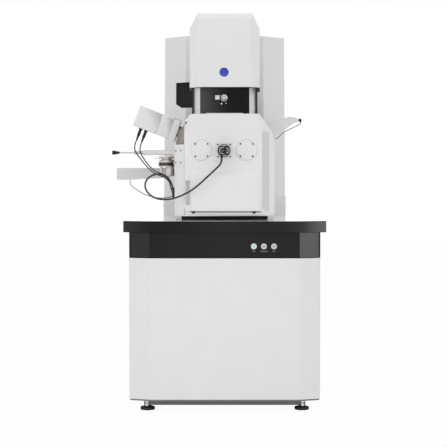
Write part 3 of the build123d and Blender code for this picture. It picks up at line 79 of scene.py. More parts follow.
# finishes: grain is the fine bump, mottle the slow change of colour and gloss
def tone(level, warmth=0.0):
    value = level / 255
    linear = ((value + 0.055) / 1.055) ** 2.4
    return (linear * (1 + warmth), linear, linear * (1 - warmth), 1)


def mixFinish(name, colour, rough, metal=0.0, grain=0.1, grainSize=0.0012, stretch=(1, 1, 1), mottle=0.03,
              gloss=0.06, coat=0.0, shine=0.5):
    material = bpy.data.materials.new(name)
    material.use_nodes = True
    tree = material.node_tree
    shader = tree.nodes["Principled BSDF"]
    shader.inputs["Metallic"].default_value = metal
    shader.inputs["Coat Weight"].default_value = coat
    shader.inputs["Coat Roughness"].default_value = 0.12
    shader.inputs["Specular IOR Level"].default_value = shine
    place = tree.nodes.new("ShaderNodeTexCoord")
    fine = tree.nodes.new("ShaderNodeMapping")
    fine.inputs["Scale"].default_value = stretch
    tree.links.new(place.outputs["Object"], fine.inputs["Vector"])
    grainNoise = tree.nodes.new("ShaderNodeTexNoise")
    grainNoise.inputs["Scale"].default_value = 1 / grainSize
    grainNoise.inputs["Detail"].default_value = 3
    tree.links.new(fine.outputs["Vector"], grainNoise.inputs["Vector"])
    slow = tree.nodes.new("ShaderNodeTexNoise")
    slow.inputs["Scale"].default_value = 9
    slow.inputs["Detail"].default_value = 5
    tree.links.new(place.outputs["Object"], slow.inputs["Vector"])
    bump = tree.nodes.new("ShaderNodeBump")
    bump.inputs["Strength"].default_value = grain
    bump.inputs["Distance"].default_value = grainSize / 4
    tree.links.new(grainNoise.outputs["Fac"], bump.inputs["Height"])
    tree.links.new(bump.outputs["Normal"], shader.inputs["Normal"])
    ramp = tree.nodes.new("ShaderNodeValToRGB")
    ramp.color_ramp.elements[0].position = 0.3
    ramp.color_ramp.elements[1].position = 0.7
    ramp.color_ramp.elements[0].color = [c * (1 - mottle) for c in colour[:3]] + [1]
    ramp.color_ramp.elements[1].color = [min(1, c * (1 + mottle)) for c in colour[:3]] + [1]
    tree.links.new(slow.outputs["Fac"], ramp.inputs["Fac"])
    tree.links.new(ramp.outputs["Color"], shader.inputs["Base Color"])
    spread = tree.nodes.new("ShaderNodeMapRange")
    spread.inputs["To Min"].default_value = rough - gloss
    spread.inputs["To Max"].default_value = rough + gloss
    tree.links.new(grainNoise.outputs["Fac"], spread.inputs["Value"])
    tree.links.new(spread.outputs["Result"], shader.inputs["Roughness"])
    return material


finishes = {
    "white_paint": mixFinish("whitePaint", tone(227, 0.004), 0.42, grain=0.16, mottle=0.012),
    # the tower's white paint, made a little darker than the other white paint as painted shade
    "tower_paint_with_painted_shade": mixFinish("towerPaintWithPaintedShade", tone(222, 0.004), 0.45, grain=0.16, mottle=0.012),
    "grey_paint": mixFinish("greyPaint", tone(215, 0.004), 0.42, grain=0.18, mottle=0.015),
    "graphite_paint": mixFinish("graphitePaint", tone(9, 0.02), 0.34, grain=0.22, mottle=0.05, shine=0.15),
    "dark_paint": mixFinish("darkPaint", tone(52, 0.01), 0.55, grain=0.3, mottle=0.06),
    "black_paint": mixFinish("blackPaint", tone(22, 0.02), 0.38, grain=0.25, mottle=0.06, shine=0.3),
    "cast_metal": mixFinish("castMetal", tone(138, 0.1), 0.4, metal=1.0, grain=0.35, grainSize=0.0008,
                            stretch=(1, 1, 14), mottle=0.08),
    "aluminium": mixFinish("anodisedAluminium", tone(205), 0.36, metal=1.0, grain=0.2, grainSize=0.0005,
                           stretch=(18, 1, 1)),
    "steel": mixFinish("brushedSteel", tone(190, 0.01), 0.3, metal=1.0, grain=0.25, grainSize=0.0004,
                       stretch=(1, 1, 20)),
    "chrome": mixFinish("chrome", tone(222), 0.1, metal=1.0, grain=0.03, mottle=0.01, gloss=0.03),
    "brass": mixFinish("nickelBrass", tone(176, 0.09), 0.3, metal=1.0, grain=0.15, mottle=0.06),
    "white_plastic": mixFinish("whitePlastic", tone(229, 0.003), 0.46, grain=0.1, mottle=0.01),
    "grey_plastic": mixFinish("greyPlastic", tone(196), 0.3, grain=0.05, mottle=0.01),
    "green_plastic": mixFinish("mintPlastic", (0.55, 0.78, 0.66, 1), 0.3, grain=0.05, mottle=0.01),
    "black_plastic": mixFinish("blackPlastic", tone(22), 0.36, grain=0.2, mottle=0.05, shine=0.35),
    "rubber": mixFinish("rubber", tone(44), 0.7, grain=0.4, mottle=0.08),
    "cord_rubber": mixFinish("cordSheath", tone(30), 0.48, grain=0.15, mottle=0.05),
    "ink": mixFinish("printInk", tone(150), 0.5, grain=0.05),
    "badge_blue": mixFinish("badgeBlue", (0.012, 0.025, 0.42, 1), 0.3, grain=0.05, mottle=0.01, coat=0.3),
    # grey for the painted shade on the hood's right bevel
    "bevel_painted_shade": mixFinish("bevelPaintedShade", tone(204, 0.004), 0.42, grain=0.16, mottle=0.012),
    "toe_paint": mixFinish("toePaint", tone(120, 0.01), 0.5, grain=0.25, mottle=0.04),
    "pale_metal": mixFinish("paleMetal", tone(206, 0.035), 0.42, metal=0.7, grain=0.2, grainSize=0.0006,
                            stretch=(1, 1, 16), mottle=0.05),
    "valve_brown": mixFinish("valveBrown", tone(62, 0.12), 0.4, metal=0.5, grain=0.2, mottle=0.08),
    # the housing's dark paint, with a painted left-to-right light and shade added to it below
    "housing_paint_and_painted_shade": mixFinish("housingPaintAndPaintedShade", tone(26, 0.02), 0.36, grain=0.25, mottle=0.06, shine=0.15),
    "dark_steel": mixFinish("darkSteel", tone(70, 0.02), 0.35, metal=0.7, grain=0.1),
    "bench_laminate": mixFinish("benchLaminate", tone(252), 0.14, grain=0.03, mottle=0.004, gloss=0.03,
                                coat=1.0),
    "glass_black": mixFinish("darkLens", tone(16), 0.08, grain=0.02, mottle=0.01, gloss=0.02, coat=0.6),
}
# painted light and shade: the housing's dark paint is made lighter on its left and darker towards the right,
# standing for how the light falls across it
housingPaintedShade = dict(start=-0.075, end=0.05, left=74, right=5)
tree = finishes["housing_paint_and_painted_shade"].node_tree
place = tree.nodes.new("ShaderNodeTexCoord")
parts = tree.nodes.new("ShaderNodeSeparateXYZ")
across = tree.nodes.new("ShaderNodeMapRange")
across.inputs["From Min"].default_value = housingPaintedShade["start"]
across.inputs["From Max"].default_value = housingPaintedShade["end"]
mixed = tree.nodes.new("ShaderNodeMix")
mixed.data_type = "RGBA"
mixed.inputs["A"].default_value = tone(housingPaintedShade["left"], 0.02)
mixed.inputs["B"].default_value = tone(housingPaintedShade["right"], 0.02)
tree.links.new(place.outputs["Object"], parts.inputs[0])
tree.links.new(parts.outputs["X"], across.inputs["Value"])
tree.links.new(across.outputs["Result"], mixed.inputs["Factor"])
paintedShadeColour = next(o for o in mixed.outputs if o.type == "RGBA")
tree.links.new(paintedShadeColour, tree.nodes["Principled BSDF"].inputs["Base Color"])

# nodes whose finish differs from their slot's
paintChanges = {
    "column_housing": "housing_paint_and_painted_shade", "gauge_head": "pale_metal", "base_frame": "toe_paint",
    "door_plate": "white_paint", "port_valve": "pale_metal", "rod_support_bar": "pale_metal",
    "tower_cover": "tower_paint_with_painted_shade", "tower_rear_panel": "tower_paint_with_painted_shade", "tower_base_cover": "grey_paint",
}


def finishOf(node):
    return finishes[paintChanges.get(node, nodeSlot[node])]


# makers of pieces
forward = (0, -1, 0)
rearward = (0, 1, 0)
upward = (0, 0, 1)
creaseAngle = math.radians(35)


def finishPiece(piece, body, material, hides=()):
    if not piece.data.materials:
        piece.data.materials.append(material)
    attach(piece, body)
    if hides:
        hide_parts(*hides)
    return piece


def pieceFrom(name, bm, body, slotName, material=None, hides=()):
    bmesh.ops.recalc_face_normals(bm, faces=bm.faces)
    mesh = bpy.data.meshes.new(name)
    bm.to_mesh(mesh)
    bm.free()
    mesh.polygons.foreach_set("use_smooth", [True] * len(mesh.polygons))
    mesh.set_sharp_from_angle(angle=creaseAngle)
    piece = bpy.data.objects.new(name, mesh)
    scene.collection.objects.link(piece)
    return finishPiece(piece, body, material or finishes[slotName], hides)


def softened(node, width):  # the node's own form with its edges rounded
    bm = bmesh.new()
    bm.from_mesh(nodes[node].data)
    bmesh.ops.remove_doubles(bm, verts=bm.verts, dist=1e-5)
    bmesh.ops.dissolve_limit(bm, angle_limit=math.radians(0.4), verts=bm.verts, edges=bm.edges)
    piece = pieceFrom(node + "Soft", bm, nodeBody[node], nodeSlot[node], finishOf(node), (node,))
    edge = piece.modifiers.new("roundedEdges", "BEVEL")
    edge.width = width / 1000
    edge.segments = 3
    edge.limit_method = "ANGLE"
    edge.angle_limit = creaseAngle
    edge.harden_normals = True
    return piece


def addTurned(bm, profile, centre, axis, steps=40):  # profile of (radius, distance along the axis)
    axis = Vector(axis).normalized()
    side = axis.orthogonal().normalized()
    other = axis.cross(side)
    rings = []
    for radius, along in profile:
        middle = centre + axis * (along / 1000)
        if radius < 1e-6:
            rings.append([bm.verts.new(middle)])
            continue
        rings.append([
            bm.verts.new(middle + (side * math.cos(a) + other * math.sin(a)) * (radius / 1000))
            for a in (2 * math.pi * i / steps for i in range(steps))
        ])
    for low, high in zip(rings, rings[1:]):
        for i in range(steps):
            j = (i + 1) % steps
            corners = [low[i % len(low)], low[j % len(low)], high[j % len(high)], high[i % len(high)]]
            unique = [v for k, v in enumerate(corners) if v not in corners[:k]]
            if len(unique) > 2:
                bm.faces.new(unique)


def addBlock(bm, low, high, rounding=0.0, steps=2):
    corner, far = at(*low), at(*high)
    place = Matrix.Translation((corner + far) / 2) @ Matrix.Diagonal((*(far - corner), 1))
    made = bmesh.ops.create_cube(bm, size=1, matrix=place)
    if rounding:
        edges = {e for v in made["verts"] for e in v.link_edges}
        bmesh.ops.bevel(
            bm, geom=list(edges), offset=rounding / 1000, segments=steps, profile=0.5, affect="EDGES",
            clamp_overlap=True)


def addPlate(bm, outline, low, high, axis="z"):  # an outline between two levels along Z or Y
    def spot(u, v, w):
        return at(u, v, w) if axis == "z" else at(u, w, v)
    bottom = [bm.verts.new(spot(u, v, low)) for u, v in outline]
    top = [bm.verts.new(spot(u, v, high)) for u, v in outline]
    bm.faces.new(bottom)
    bm.faces.new(top)
    for i in range(len(outline)):
        j = (i + 1) % len(outline)
        bm.faces.new((bottom[i], bottom[j], top[j], top[i]))


def addCapScrew(bm, centre, axis, radius=3.2, head=2.6):  # socket cap head, its back at the centre
    socket = radius * 0.5
    profile = [
        (0, head * 0.35), (socket, head * 0.35), (socket, head), (radius * 0.88, head), (radius, head * 0.85),
        (radius, 0),
    ]
    addTurned(bm, profile, centre, axis, 20)


def screwSet(name, spots, axis, body, radius=3.2, head=2.6, slotName="black_plastic"):
    bm = bmesh.new()
    for spot in spots:
        addCapScrew(bm, spot, axis, radius, head)
    return pieceFrom(name, bm, body, slotName)


def ringOf(name, centre, axis, inner, outer, depth, body, slotName, material=None):
    bm = bmesh.new()
    addTurned(bm, [(inner, 0), (inner, depth), (outer, depth), (outer, 0)], centre, axis, 64)
    return pieceFrom(name, bm, body, slotName, material)


def blocksPiece(name, blocks, body, slotName, material=None):  # blocks of (low, high, rounding)
    bm = bmesh.new()
    for block in blocks:
        addBlock(bm, *block)
    return pieceFrom(name, bm, body, slotName, material)


def turnOf(a, b, c):  # above zero where the path a, b, c turns left
    return (b[0] - a[0]) * (c[1] - a[1]) - (b[1] - a[1]) * (c[0] - a[0])


def outlineOf(node, low, high):  # the hull, seen from above, of a node's points between two heights
    shape = nodes[node]
    points = [shape.matrix_world @ v.co for v in shape.data.vertices]
    spots = sorted({
        (round(p.x * 1000 - moveX, 2), round(p.y * 1000 - moveY, 2))
        for p in points if low <= p.z * 1000 <= high
    })
    hull = []
    for path in (spots, spots[::-1]):
        side = []
        for spot in path:
            while len(side) > 1 and turnOf(side[-2], side[-1], spot) <= 0:
                side.pop()
            side.append(spot)
        hull += side[:-1]
    return hull


def grown(outline, by):
    middle = Vector((sum(p[0] for p in outline), sum(p[1] for p in outline))) / len(outline)
    return [tuple(Vector(p) + (Vector(p) - middle).normalized() * by) for p in outline]


def addBand(bm, outline, low, high, proud, thick):  # a band around an outline
    loops = []
    for by, z in ((proud - thick, low), (proud, low), (proud, high), (proud - thick, high)):
        loops.append([bm.verts.new(at(x, y, z)) for x, y in grown(outline, by)])
    for i, loop in enumerate(loops):
        after = loops[(i + 1) % 4]
        for j in range(len(outline)):
            k = (j + 1) % len(outline)
            bm.faces.new((loop[j], loop[k], after[k], after[j]))


def repaint(piece, material, chosen):  # a second finish on the faces whose middle passes the test
    piece.data.materials.append(material)
    for face in piece.data.polygons:
        if chosen(face.center):
            face.material_index = len(piece.data.materials) - 1


# cords, each on its own NURBS line
cords = dict(cameraThickness=7.5, detectorThickness=5.0, xrayThickness=3.0, rightThickness=3.0)


def cordLine(name, points):
    curve = bpy.data.curves.new(name, "CURVE")
    curve.dimensions = "3D"
    curve.resolution_u = 10
    spline = curve.splines.new("NURBS")
    spline.points.add(len(points) - 1)
    for knot, point in zip(spline.points, points):
        knot.co = (*at(*point), 1)
    spline.order_u = 3
    spline.use_endpoint_u = True
    line = bpy.data.objects.new(name, curve)
    scene.collection.objects.link(line)
    return line


def freeCord(name, points, thickness, body, node):
    line = cordLine(name, points)
    line.data.bevel_depth = thickness / 2000
    line.data.bevel_resolution = 5
    line.data.use_fill_caps = True
    finishPiece(line, body, finishes["cord_rubber"], (node,))


def tubeAlong(bm, path, radius, steps=14):
    previous = None
    side = None
    for i, point in enumerate(path):
        ahead = path[min(i + 1, len(path) - 1)] - path[max(i - 1, 0)]
        ahead.normalize()
        side = (side - ahead * side.dot(ahead)).normalized() if side else ahead.orthogonal().normalized()
        other = ahead.cross(side)
        ring = [
            bm.verts.new(point + (side * math.cos(a) + other * math.sin(a)) * radius)
            for a in (2 * math.pi * k / steps for k in range(steps))
        ]
        if previous:
            for k in range(steps):
                bm.faces.new((previous[k], previous[(k + 1) % steps], ring[(k + 1) % steps], ring[k]))
        else:
            bm.faces.new(ring[::-1])
        previous = ring
    bm.faces.new(previous)


lean = math.radians(21)  # the left detector's tilt
detector = dict(faceX=-230.6, faceZ=1191.0, y=340.0, height=92.0, depth=96.0, plug=54.0, frontPlug=103.0,
                rearPlug=127.0, straight=15.0)


def onDetector(along, across=0.0, y=0.0):  # a point along the left detector and across it
    x = detector["faceX"] - along * math.cos(lean) + across * math.sin(lean)
    z = detector["faceZ"] + along * math.sin(lean) + across * math.cos(lean)
    return (x, detector["y"] + y, z)


plugEnd = -detector["height"] / 2 - detector["plug"]
bendEnd = plugEnd - detector["straight"]
frontPlug = onDetector(detector["frontPlug"], plugEnd)
frontBend = onDetector(detector["frontPlug"], bendEnd)
rearPlug = onDetector(detector["rearPlug"], plugEnd)
rearBend = onDetector(detector["rearPlug"], bendEnd)

freeCord("frontDetectorCord", [
    frontPlug, frontBend, (-371, 329, 1099), (-362, 322, 1076), (-345, 314, 1050), (-325.5, 304, 1026),
    (-303, 296, 1008), (-279, 290, 998), (-256, 288, 988.5), (-238.5, 292, 972.5), (-229, 301, 950.5),
    (-223.5, 313, 930), (-223, 323, 922), (-223, 332, 922),
], cords["detectorThickness"], "machine", "detector_cable_front")
freeCord("rearDetectorCord", [
    rearPlug, rearBend, (-394, 330, 1112), (-389.5, 322, 1092), (-376.5, 317, 1073), (-357.5, 308, 1050),
    (-336.5, 297, 1024.5), (-312.5, 286, 1003), (-286, 279, 990), (-259, 279, 980), (-240, 285, 963),
    (-236.5, 296, 944), (-231, 309, 924), (-224, 321, 911), (-224, 332, 911),
], cords["detectorThickness"], "machine", "detector_cable_rear")
freeCord("xrayCord", [
    (-422, 450, 969), (-422, 450, 955), (-414, 442, 940), (-405, 433, 933), (-391, 420, 927),
    (-372, 399, 914), (-348, 374, 903), (-320, 350, 895), (-290, 332, 890), (-262, 322, 889),
    (-243, 316, 893), (-231, 317, 897), (-225, 324, 899), (-225, 332, 899),
], cords["xrayThickness"], "machine", "x_ray_cable")
freeCord("rightDetectorCord", [
    (331.2, 340, 1220), (331.2, 340, 1214), (321, 339, 1207.5), (311, 337.5, 1203), (295, 335.5, 1195.5),
    (275, 333.8, 1185.5), (257, 332.3, 1176.5), (244, 331.2, 1166), (236, 330.5, 1156), (229.5, 330, 1150),
    (222.5, 330, 1150),
], cords["rightThickness"], "machine", "right_detector_cable")

# the camera's lead hangs in a loop beside the chamber
cameraRoute = [
    (-13, 95.5, 1063), (-13, 95.5, 1047), (-22, 94, 1031), (-38, 91, 1016), (-58, 89, 997), (-83, 87, 974),
    (-111, 87, 948), (-143, 90, 924), (-180, 101, 905), (-217, 124, 891), (-254, 147, 886), (-290, 168, 890),
    (-321, 184, 906), (-340, 193, 932), (-340, 199, 962), (-321, 204, 985), (-292, 209, 996),
    (-262, 215, 992), (-239, 225, 974), (-227, 239, 949), (-223, 253, 931), (-222, 264, 924),
    (-222, 276, 924),
]
cameraLine = cordLine("cameraLine", cameraRoute)
lineMesh = bpy.data.meshes.new_from_object(cameraLine)
cameraPath = [v.co.copy() for v in lineMesh.vertices]
bpy.data.objects.remove(cameraLine)
bm = bmesh.new()
tubeAlong(bm, cameraPath, cords["cameraThickness"] / 2000)
cameraCord = bpy.data.objects.new("cameraCord", bpy.data.meshes.new("cameraCord"))
bm.to_mesh(cameraCord.data)
bm.free()
cameraCord.data.polygons.foreach_set("use_smooth", [True] * len(cameraCord.data.polygons))
cameraCord.data.materials.append(finishes["cord_rubber"])
scene.collection.objects.link(cameraCord)
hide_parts("camera_cable")
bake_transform(cameraCord)
print("cords laid")

# every rigid node keeps its form, with rounded edges and its own finish
edgeWidths = {  # millimetres
    "front_panel": 0.6, "fascia": 0.6, "side_panels": 0.6, "rear_panel": 0.5, "bench_slab": 1.2,
    "gun_cover": 0.9, "chamber_cover": 0.9, "door_cover": 0.9, "drive_cover": 0.9, "tower_cover": 0.9,
    "tower_base_cover": 0.9, "tower_rear_panel": 0.6, "column_housing": 0.8, "column_side_trims": 0.5,
    "column_support": 0.8, "base_frame": 0.8, "frame_posts": 0.8, "base_plate": 0.8, "chamber_body": 1.2,
    "x_ray_detector": 0.8, "right_detector": 1.5, "rod_support_bar": 0.5, "port_valve": 0.5,
    "gauge_head": 0.5, "detector_rod": 0.3, "side_port_flange": 0.5, "front_port_flanges": 0.5,
    "detector_connectors": 0.4, "left_detector_housing": 0.4, "left_detector_nose": 0.5,
    "cable_glands": 0.8, "right_detector_plug": 0.5, "door_plate": 0.6, "guide_rods": 0.4,
    "z_carriage": 0.6, "y_carriage": 0.6, "x_carriage": 0.6, "tilt_cradle": 0.5, "rotation_table": 0.3,
    "turbo_pump": 0.8, "electronics_crate": 0.8, "isolation_mounts": 0.8, "chamber_skirt": 0.5,
    "objective_lens": 0.5, "column_tube": 0.5, "electron_gun": 0.5, "foot_front_left": 0.4,
    "foot_front_right": 0.4, "foot_rear_left": 0.4, "foot_rear_right": 0.4, "on_button": 0.4,
    "standby_button": 0.4, "off_button": 0.4,
}
soft = {node: softened(node, width) for node, width in edgeWidths.items()}
# pieces in two finishes: the rod's handle, the feet's bosses and the glands on the right, in millimetres
secondFinish = dict(rodHandle=-458.6, footX=326, footY=(110, 840), bossTop=52, bossRadius=16.5, glands=150)
handleStart = (secondFinish["rodHandle"] + moveX) / 1000
repaint(soft["detector_rod"], finishes["black_plastic"], lambda c: c.x < handleStart)
footSpots = [at(s * secondFinish["footX"], y, 0) for s in (-1, 1) for y in secondFinish["footY"]]


def onFootBoss(point):
    near = any(math.dist(point[:2], spot[:2]) < secondFinish["bossRadius"] / 1000 for spot in footSpots)
    return near and point.z < secondFinish["bossTop"] / 1000


repaint(soft["base_frame"], finishes["chrome"], onFootBoss)
repaint(soft["cable_glands"], finishes["white_plastic"], lambda c: c.x > secondFinish["glands"] / 1000)
print("nodes finished")

# fastenings, badges and small parts
def hexNut(bm, centre, axis, across, height):
    radius = across / math.sqrt(3)
    profile = [
        (0, 0), (radius * 0.94, 0), (radius, height * 0.12), (radius, height * 0.88), (radius * 0.94, height),
        (0, height),
    ]
    addTurned(bm, profile, centre, axis, 6)


def words(name, text, height, centre, body):  # flat words facing the front
    line = bpy.data.curves.new(name, "FONT")
    line.body = text
    line.size = height / 1000
    line.align_x = "CENTER"
    line.align_y = "CENTER"
    line.extrude = 0.0001
    holder = bpy.data.objects.new(name, line)
    scene.collection.objects.link(holder)
    mesh = bpy.data.meshes.new_from_object(holder)
    bpy.data.objects.remove(holder)
    mesh.transform(Matrix.Translation(centre) @ Matrix.Rotation(math.radians(90), 4, "X"))
    mesh.materials.clear()
    piece = bpy.data.objects.new(name, mesh)
    scene.collection.objects.link(piece)
    return finishPiece(piece, body, finishes["ink"])


def fourAround(x, y, z, reach):  # the corners of a square that faces the front
    return [at(x + dx, y, z + dz) for dx in (-reach, reach) for dz in (-reach, reach)]


ports = dict(left=(-98, 1096), right=(92, 1096), face=118.5, screw=26, shadow=119.9)
portSpots = []
for side in ("left", "right"):
    x, z = ports[side]
    portSpots += fourAround(x, ports["face"], z, ports["screw"])
screwSet("portScrews", portSpots, forward, "stage_door", 3.4, 2.6, "dark_steel")
for side in ("left", "right"):
    x, z = ports[side]
    lipPlace, shadowPlace = at(x, ports["face"], z), at(x, ports["shadow"], z)
    ringOf(side + "PortLip", lipPlace, forward, 40.6, 41.6, 0.5, "stage_door", "white_paint")
    ringOf(side + "PortShadow", shadowPlace, forward, 44.1, 45.4, 0.3, "stage_door", "grey_paint")

# chamber camera: black flange ring, round barrel with its lens and the square box beside it
eye = dict(x=-3, z=1094, screw=26, barrelX=-9, box=(-3, 17), boxHalf=19, front=76, back=115,
           relief=(-13, 95.5, 1078))
eyeScrews = fourAround(eye["x"], 120, eye["z"], eye["screw"])
screwSet("cameraScrews", eyeScrews, forward, "stage_door", 3.4, 3.2, "dark_steel")
flangePlace = at(eye["x"], 118.4, eye["z"])
ringOf("cameraFlange", flangePlace, forward, 24.6, 26.8, 1.2, "stage_door", "black_plastic")
bm = bmesh.new()
addTurned(bm, [
    (0, 30), (14, 30), (14.6, 38), (16, 39.5), (18.6, 39.5), (19.5, 38.4), (19.5, 30), (18.8, 29), (18.8, 26),
    (19.5, 25), (19.5, 0), (0, 0),
], at(eye["barrelX"], eye["back"], eye["z"]), forward, 48)
boxLow = (eye["box"][0], eye["front"], eye["z"] - eye["boxHalf"])
boxHigh = (eye["box"][1], eye["back"], eye["z"] + eye["boxHalf"])
addBlock(bm, boxLow, boxHigh, 2.2, 3)
addTurned(bm, [(0, 0), (16, 0), (16, 45), (0, 45)], at(eye["x"], 164, eye["z"]), forward, 40)
cordRelief = [(0, 0), (5.5, 0), (5.5, 9), (4.6, 10), (4.6, 15), (0, 15)]
addTurned(bm, cordRelief, at(*eye["relief"]), (0, 0, -1), 24)
pieceFrom("chamberCamera", bm, "stage_door", "black_plastic", hides=("chamber_camera",))
bm = bmesh.new()
lensProfile = [(0, 3.4), (5, 3.1), (9, 2.2), (11.6, 0.8), (12, 0), (0, 0)]
addTurned(bm, lensProfile, at(eye["barrelX"], 85, eye["z"]), forward, 40)
pieceFrom("cameraLens", bm, "stage_door", "glass", finishes["glass_black"])
lensPlace = at(eye["barrelX"], 84.6, eye["z"])
ringOf("lensRing", lensPlace, forward, 12.2, 13.8, 1.4, "stage_door", "steel")
plugRow = dict(near=3, far=9, proud=0.5, half=2, levels=(-9, 0, 9))
blocksPiece("cameraPlugRow", [
    (
        (eye["box"][1] - plugRow["near"], eye["front"] - plugRow["proud"], eye["z"] + z - plugRow["half"]),
        (eye["box"][1] - plugRow["far"], eye["front"] + plugRow["proud"], eye["z"] + z + plugRow["half"]),
        0.4,
    ) for z in plugRow["levels"]
], "stage_door", "steel")

# aperture control in the housing's round recess
knob = dict(x=-3, z=1319.6, back=223, radius=15, ribs=24, ribHalf=0.7, ribNear=8, ribFar=16)
bm = bmesh.new()
addTurned(bm, [
    (0, 23.4), (5.5, 23.4), (6.5, 22.6), (7.5, 20.6), (12.6, 19.6), (14.4, 18.2), (15, 16), (15, 8),
    (13.8, 6.8), (9, 6), (9, 0), (0, 0),
], at(knob["x"], knob["back"], knob["z"]), forward, 56)
for k in range(knob["ribs"]):
    angle = 2 * math.pi * k / knob["ribs"]
    x = knob["x"] + knob["radius"] * math.cos(angle)
    z = knob["z"] + knob["radius"] * math.sin(angle)
    ribLow = (x - knob["ribHalf"], knob["back"] - knob["ribFar"], z - knob["ribHalf"])
    ribHigh = (x + knob["ribHalf"], knob["back"] - knob["ribNear"], z + knob["ribHalf"])
    addBlock(bm, ribLow, ribHigh)
pieceFrom("apertureKnob", bm, "aperture", "steel", hides=("aperture_knob",))
# painted reflection: three small black blocks on the knob's face stand for its dark glints
glintMarks = dict(front=202.4, back=205, spots=(((-7, 1324.5), (1, 1327)), ((-1.5, 1309), (4, 1313.5)),
                                           ((-9.5, 1312), (-6, 1315.5))))
blocksPiece("aperturePaintedGlints", [
    ((low[0], glintMarks["front"], low[1]), (high[0], glintMarks["back"], high[1]), 0.5) for low, high in glintMarks["spots"]
], "aperture", "black_plastic")
bm = bmesh.new()
for x, z, size in ((-13.5, 1294.5, 6), (5.5, 1296, 4.5), (-21, 1330, 3)):
    profile = [(0, 8), (size * 0.45, 8), (size * 0.6, 7), (size * 0.6, 0), (0, 0)]
    addTurned(bm, profile, at(x, 203, z), forward, 20)
pieceFrom("apertureScrews", bm, "machine", "chrome")
lever = dict(plate=((-41, 188, 1311), (-22, 197.5, 1330), 1.2), ribs=5, pitch=3.8)
leverRibs = [
    ((-40 + lever["pitch"] * k, 186.4, 1312), (-38 + lever["pitch"] * k, 188.2, 1329), 0.3)
    for k in range(lever["ribs"])
]
blocksPiece("apertureLever", [lever["plate"], *leverRibs], "machine", "aluminium")

# gun cover: round blue badge, the black latch under its right corner, its lip
badge = dict(x=-3, y=190, z=1428, profile=[(0, 0.9), (18.6, 0.9), (19.4, 0.6), (19.6, 0)])
bm = bmesh.new()
addTurned(bm, badge["profile"], at(badge["x"], badge["y"], badge["z"]), forward, 64)
pieceFrom("roundBadge", bm, "machine", "badge_blue", finishes["badge_blue"])
latch = dict(body=((134, 214, 1346), (150, 240, 1363.5), 1.5), catch=((139, 211, 1350), (146, 215, 1359), 1))
blocksPiece("coverLatch", latch.values(), "machine", "black_plastic")
bm = bmesh.new()
addBand(bm, outlineOf("gun_cover", 1364.8, 1365.4), 1366, 1384, 0.9, 1.4)
pieceFrom("coverLip", bm, "machine", "white_paint")

# column housing's dark sides behind its trims
housingSide = dict(inner=133.4, outer=140, front=236, back=430, low=1253.3, high=1364.6)
for side, name in ((-1, "housingSideLeft"), (1, "housingSideRight")):
    low = (side * housingSide["inner"], housingSide["front"], housingSide["low"])
    high = (side * housingSide["outer"], housingSide["back"], housingSide["high"])
    blocksPiece(name, [(low, high)], "machine", "black_paint")

# bench top in pale laminate, with the graphite edge around it
bm = bmesh.new()
addPlate(bm, grown(outlineOf("bench_slab", 799.5, 800.5), -2.5), 799.9, 800.5)
pieceFrom("benchTop", bm, "machine", "white_plastic", finishes["bench_laminate"])

# hood's lower edge, the door block's foot, the seal at its left, a grey strip of painted shade on the hood's
# right bevel and a grey strip of painted shade in the slit under the door block
bm = bmesh.new()
addBand(bm, outlineOf("chamber_cover", 823.5, 824.5), 817.5, 824.2, 0, 3)
pieceFrom("hoodEdge", bm, "machine", "white_paint")
doorFoot = dict(
    ledge=((-141.5, 107.6, 838.8), (156.5, 121, 848.4), 1),
    left=((-168, 120.3, 838.8), (-141, 123.5, 848.2)),
    sill=((-166, 119.5, 824.6), (168, 123.8, 832.4), 0.8),
    right=((154.5, 120.2, 832), (169, 123.8, 848.2)),
)
blocksPiece("doorFoot", doorFoot.values(), "stage_door", "white_paint")
# painted shade: a flat grey strip on the hood's right bevel, darker than the white paint, stands for the
# shade that falls there
bevel = dict(start=Vector((157, 120)), end=Vector((214.5, 246.5)), shares=(0.02, 0.57), low=839, high=1176,
             back=0.05, face=0.7)
bevelOut = Vector((bevel["end"].y - bevel["start"].y, bevel["start"].x - bevel["end"].x)).normalized()
near, far = bevel["shares"]
edges = ((near, bevel["back"]), (near, bevel["face"]), (far, bevel["face"]), (far, bevel["back"]))
outline = [tuple(bevel["start"].lerp(bevel["end"], share) + bevelOut * lift) for share, lift in edges]
bm = bmesh.new()
addPlate(bm, outline, bevel["low"], bevel["high"])
pieceFrom("bevelPaintedShadePanel", bm, "machine", "grey_paint", finishes["bevel_painted_shade"])
blocksPiece("doorSeal", [((-172, 121.2, 848.5), (-170.1, 124, 1240))], "machine", "grey_plastic")
# painted shade: a grey strip in the print ink at the back of the slit stands for the shade inside it
doorSlitPaintedShade = ((-146, 122.4, 832), (152, 123.9, 839))
blocksPiece("doorSlitPaintedShade", [doorSlitPaintedShade], "stage_door", "dark_paint", finishes["ink"])

# push buttons: signs and words
buttons = dict(on=(121, "ON"), standby=(162.7, "STANDBY"), off=(204.6, "OFF"))
stroke = dict(half=0.6, on=(692, 698.5), standby=(695.5, 700))
for key, (x, text) in buttons.items():
    bm = bmesh.new()
    if key in stroke:
        low, high = stroke[key]
        addBlock(bm, (x - stroke["half"], 21.7, low), (x + stroke["half"], 22.3, high))
    if key != "on":
        addTurned(bm, [(3.2, 0), (3.2, 0.5), (4.2, 0.5), (4.2, 0)], at(x, 22.2, 695), forward, 32)
    pieceFrom(key + "Sign", bm, "button_" + key, "ink", finishes["dark_paint"])
    words(key + "Words", text, 7.5, at(x, 24.85, 673.5), "machine")

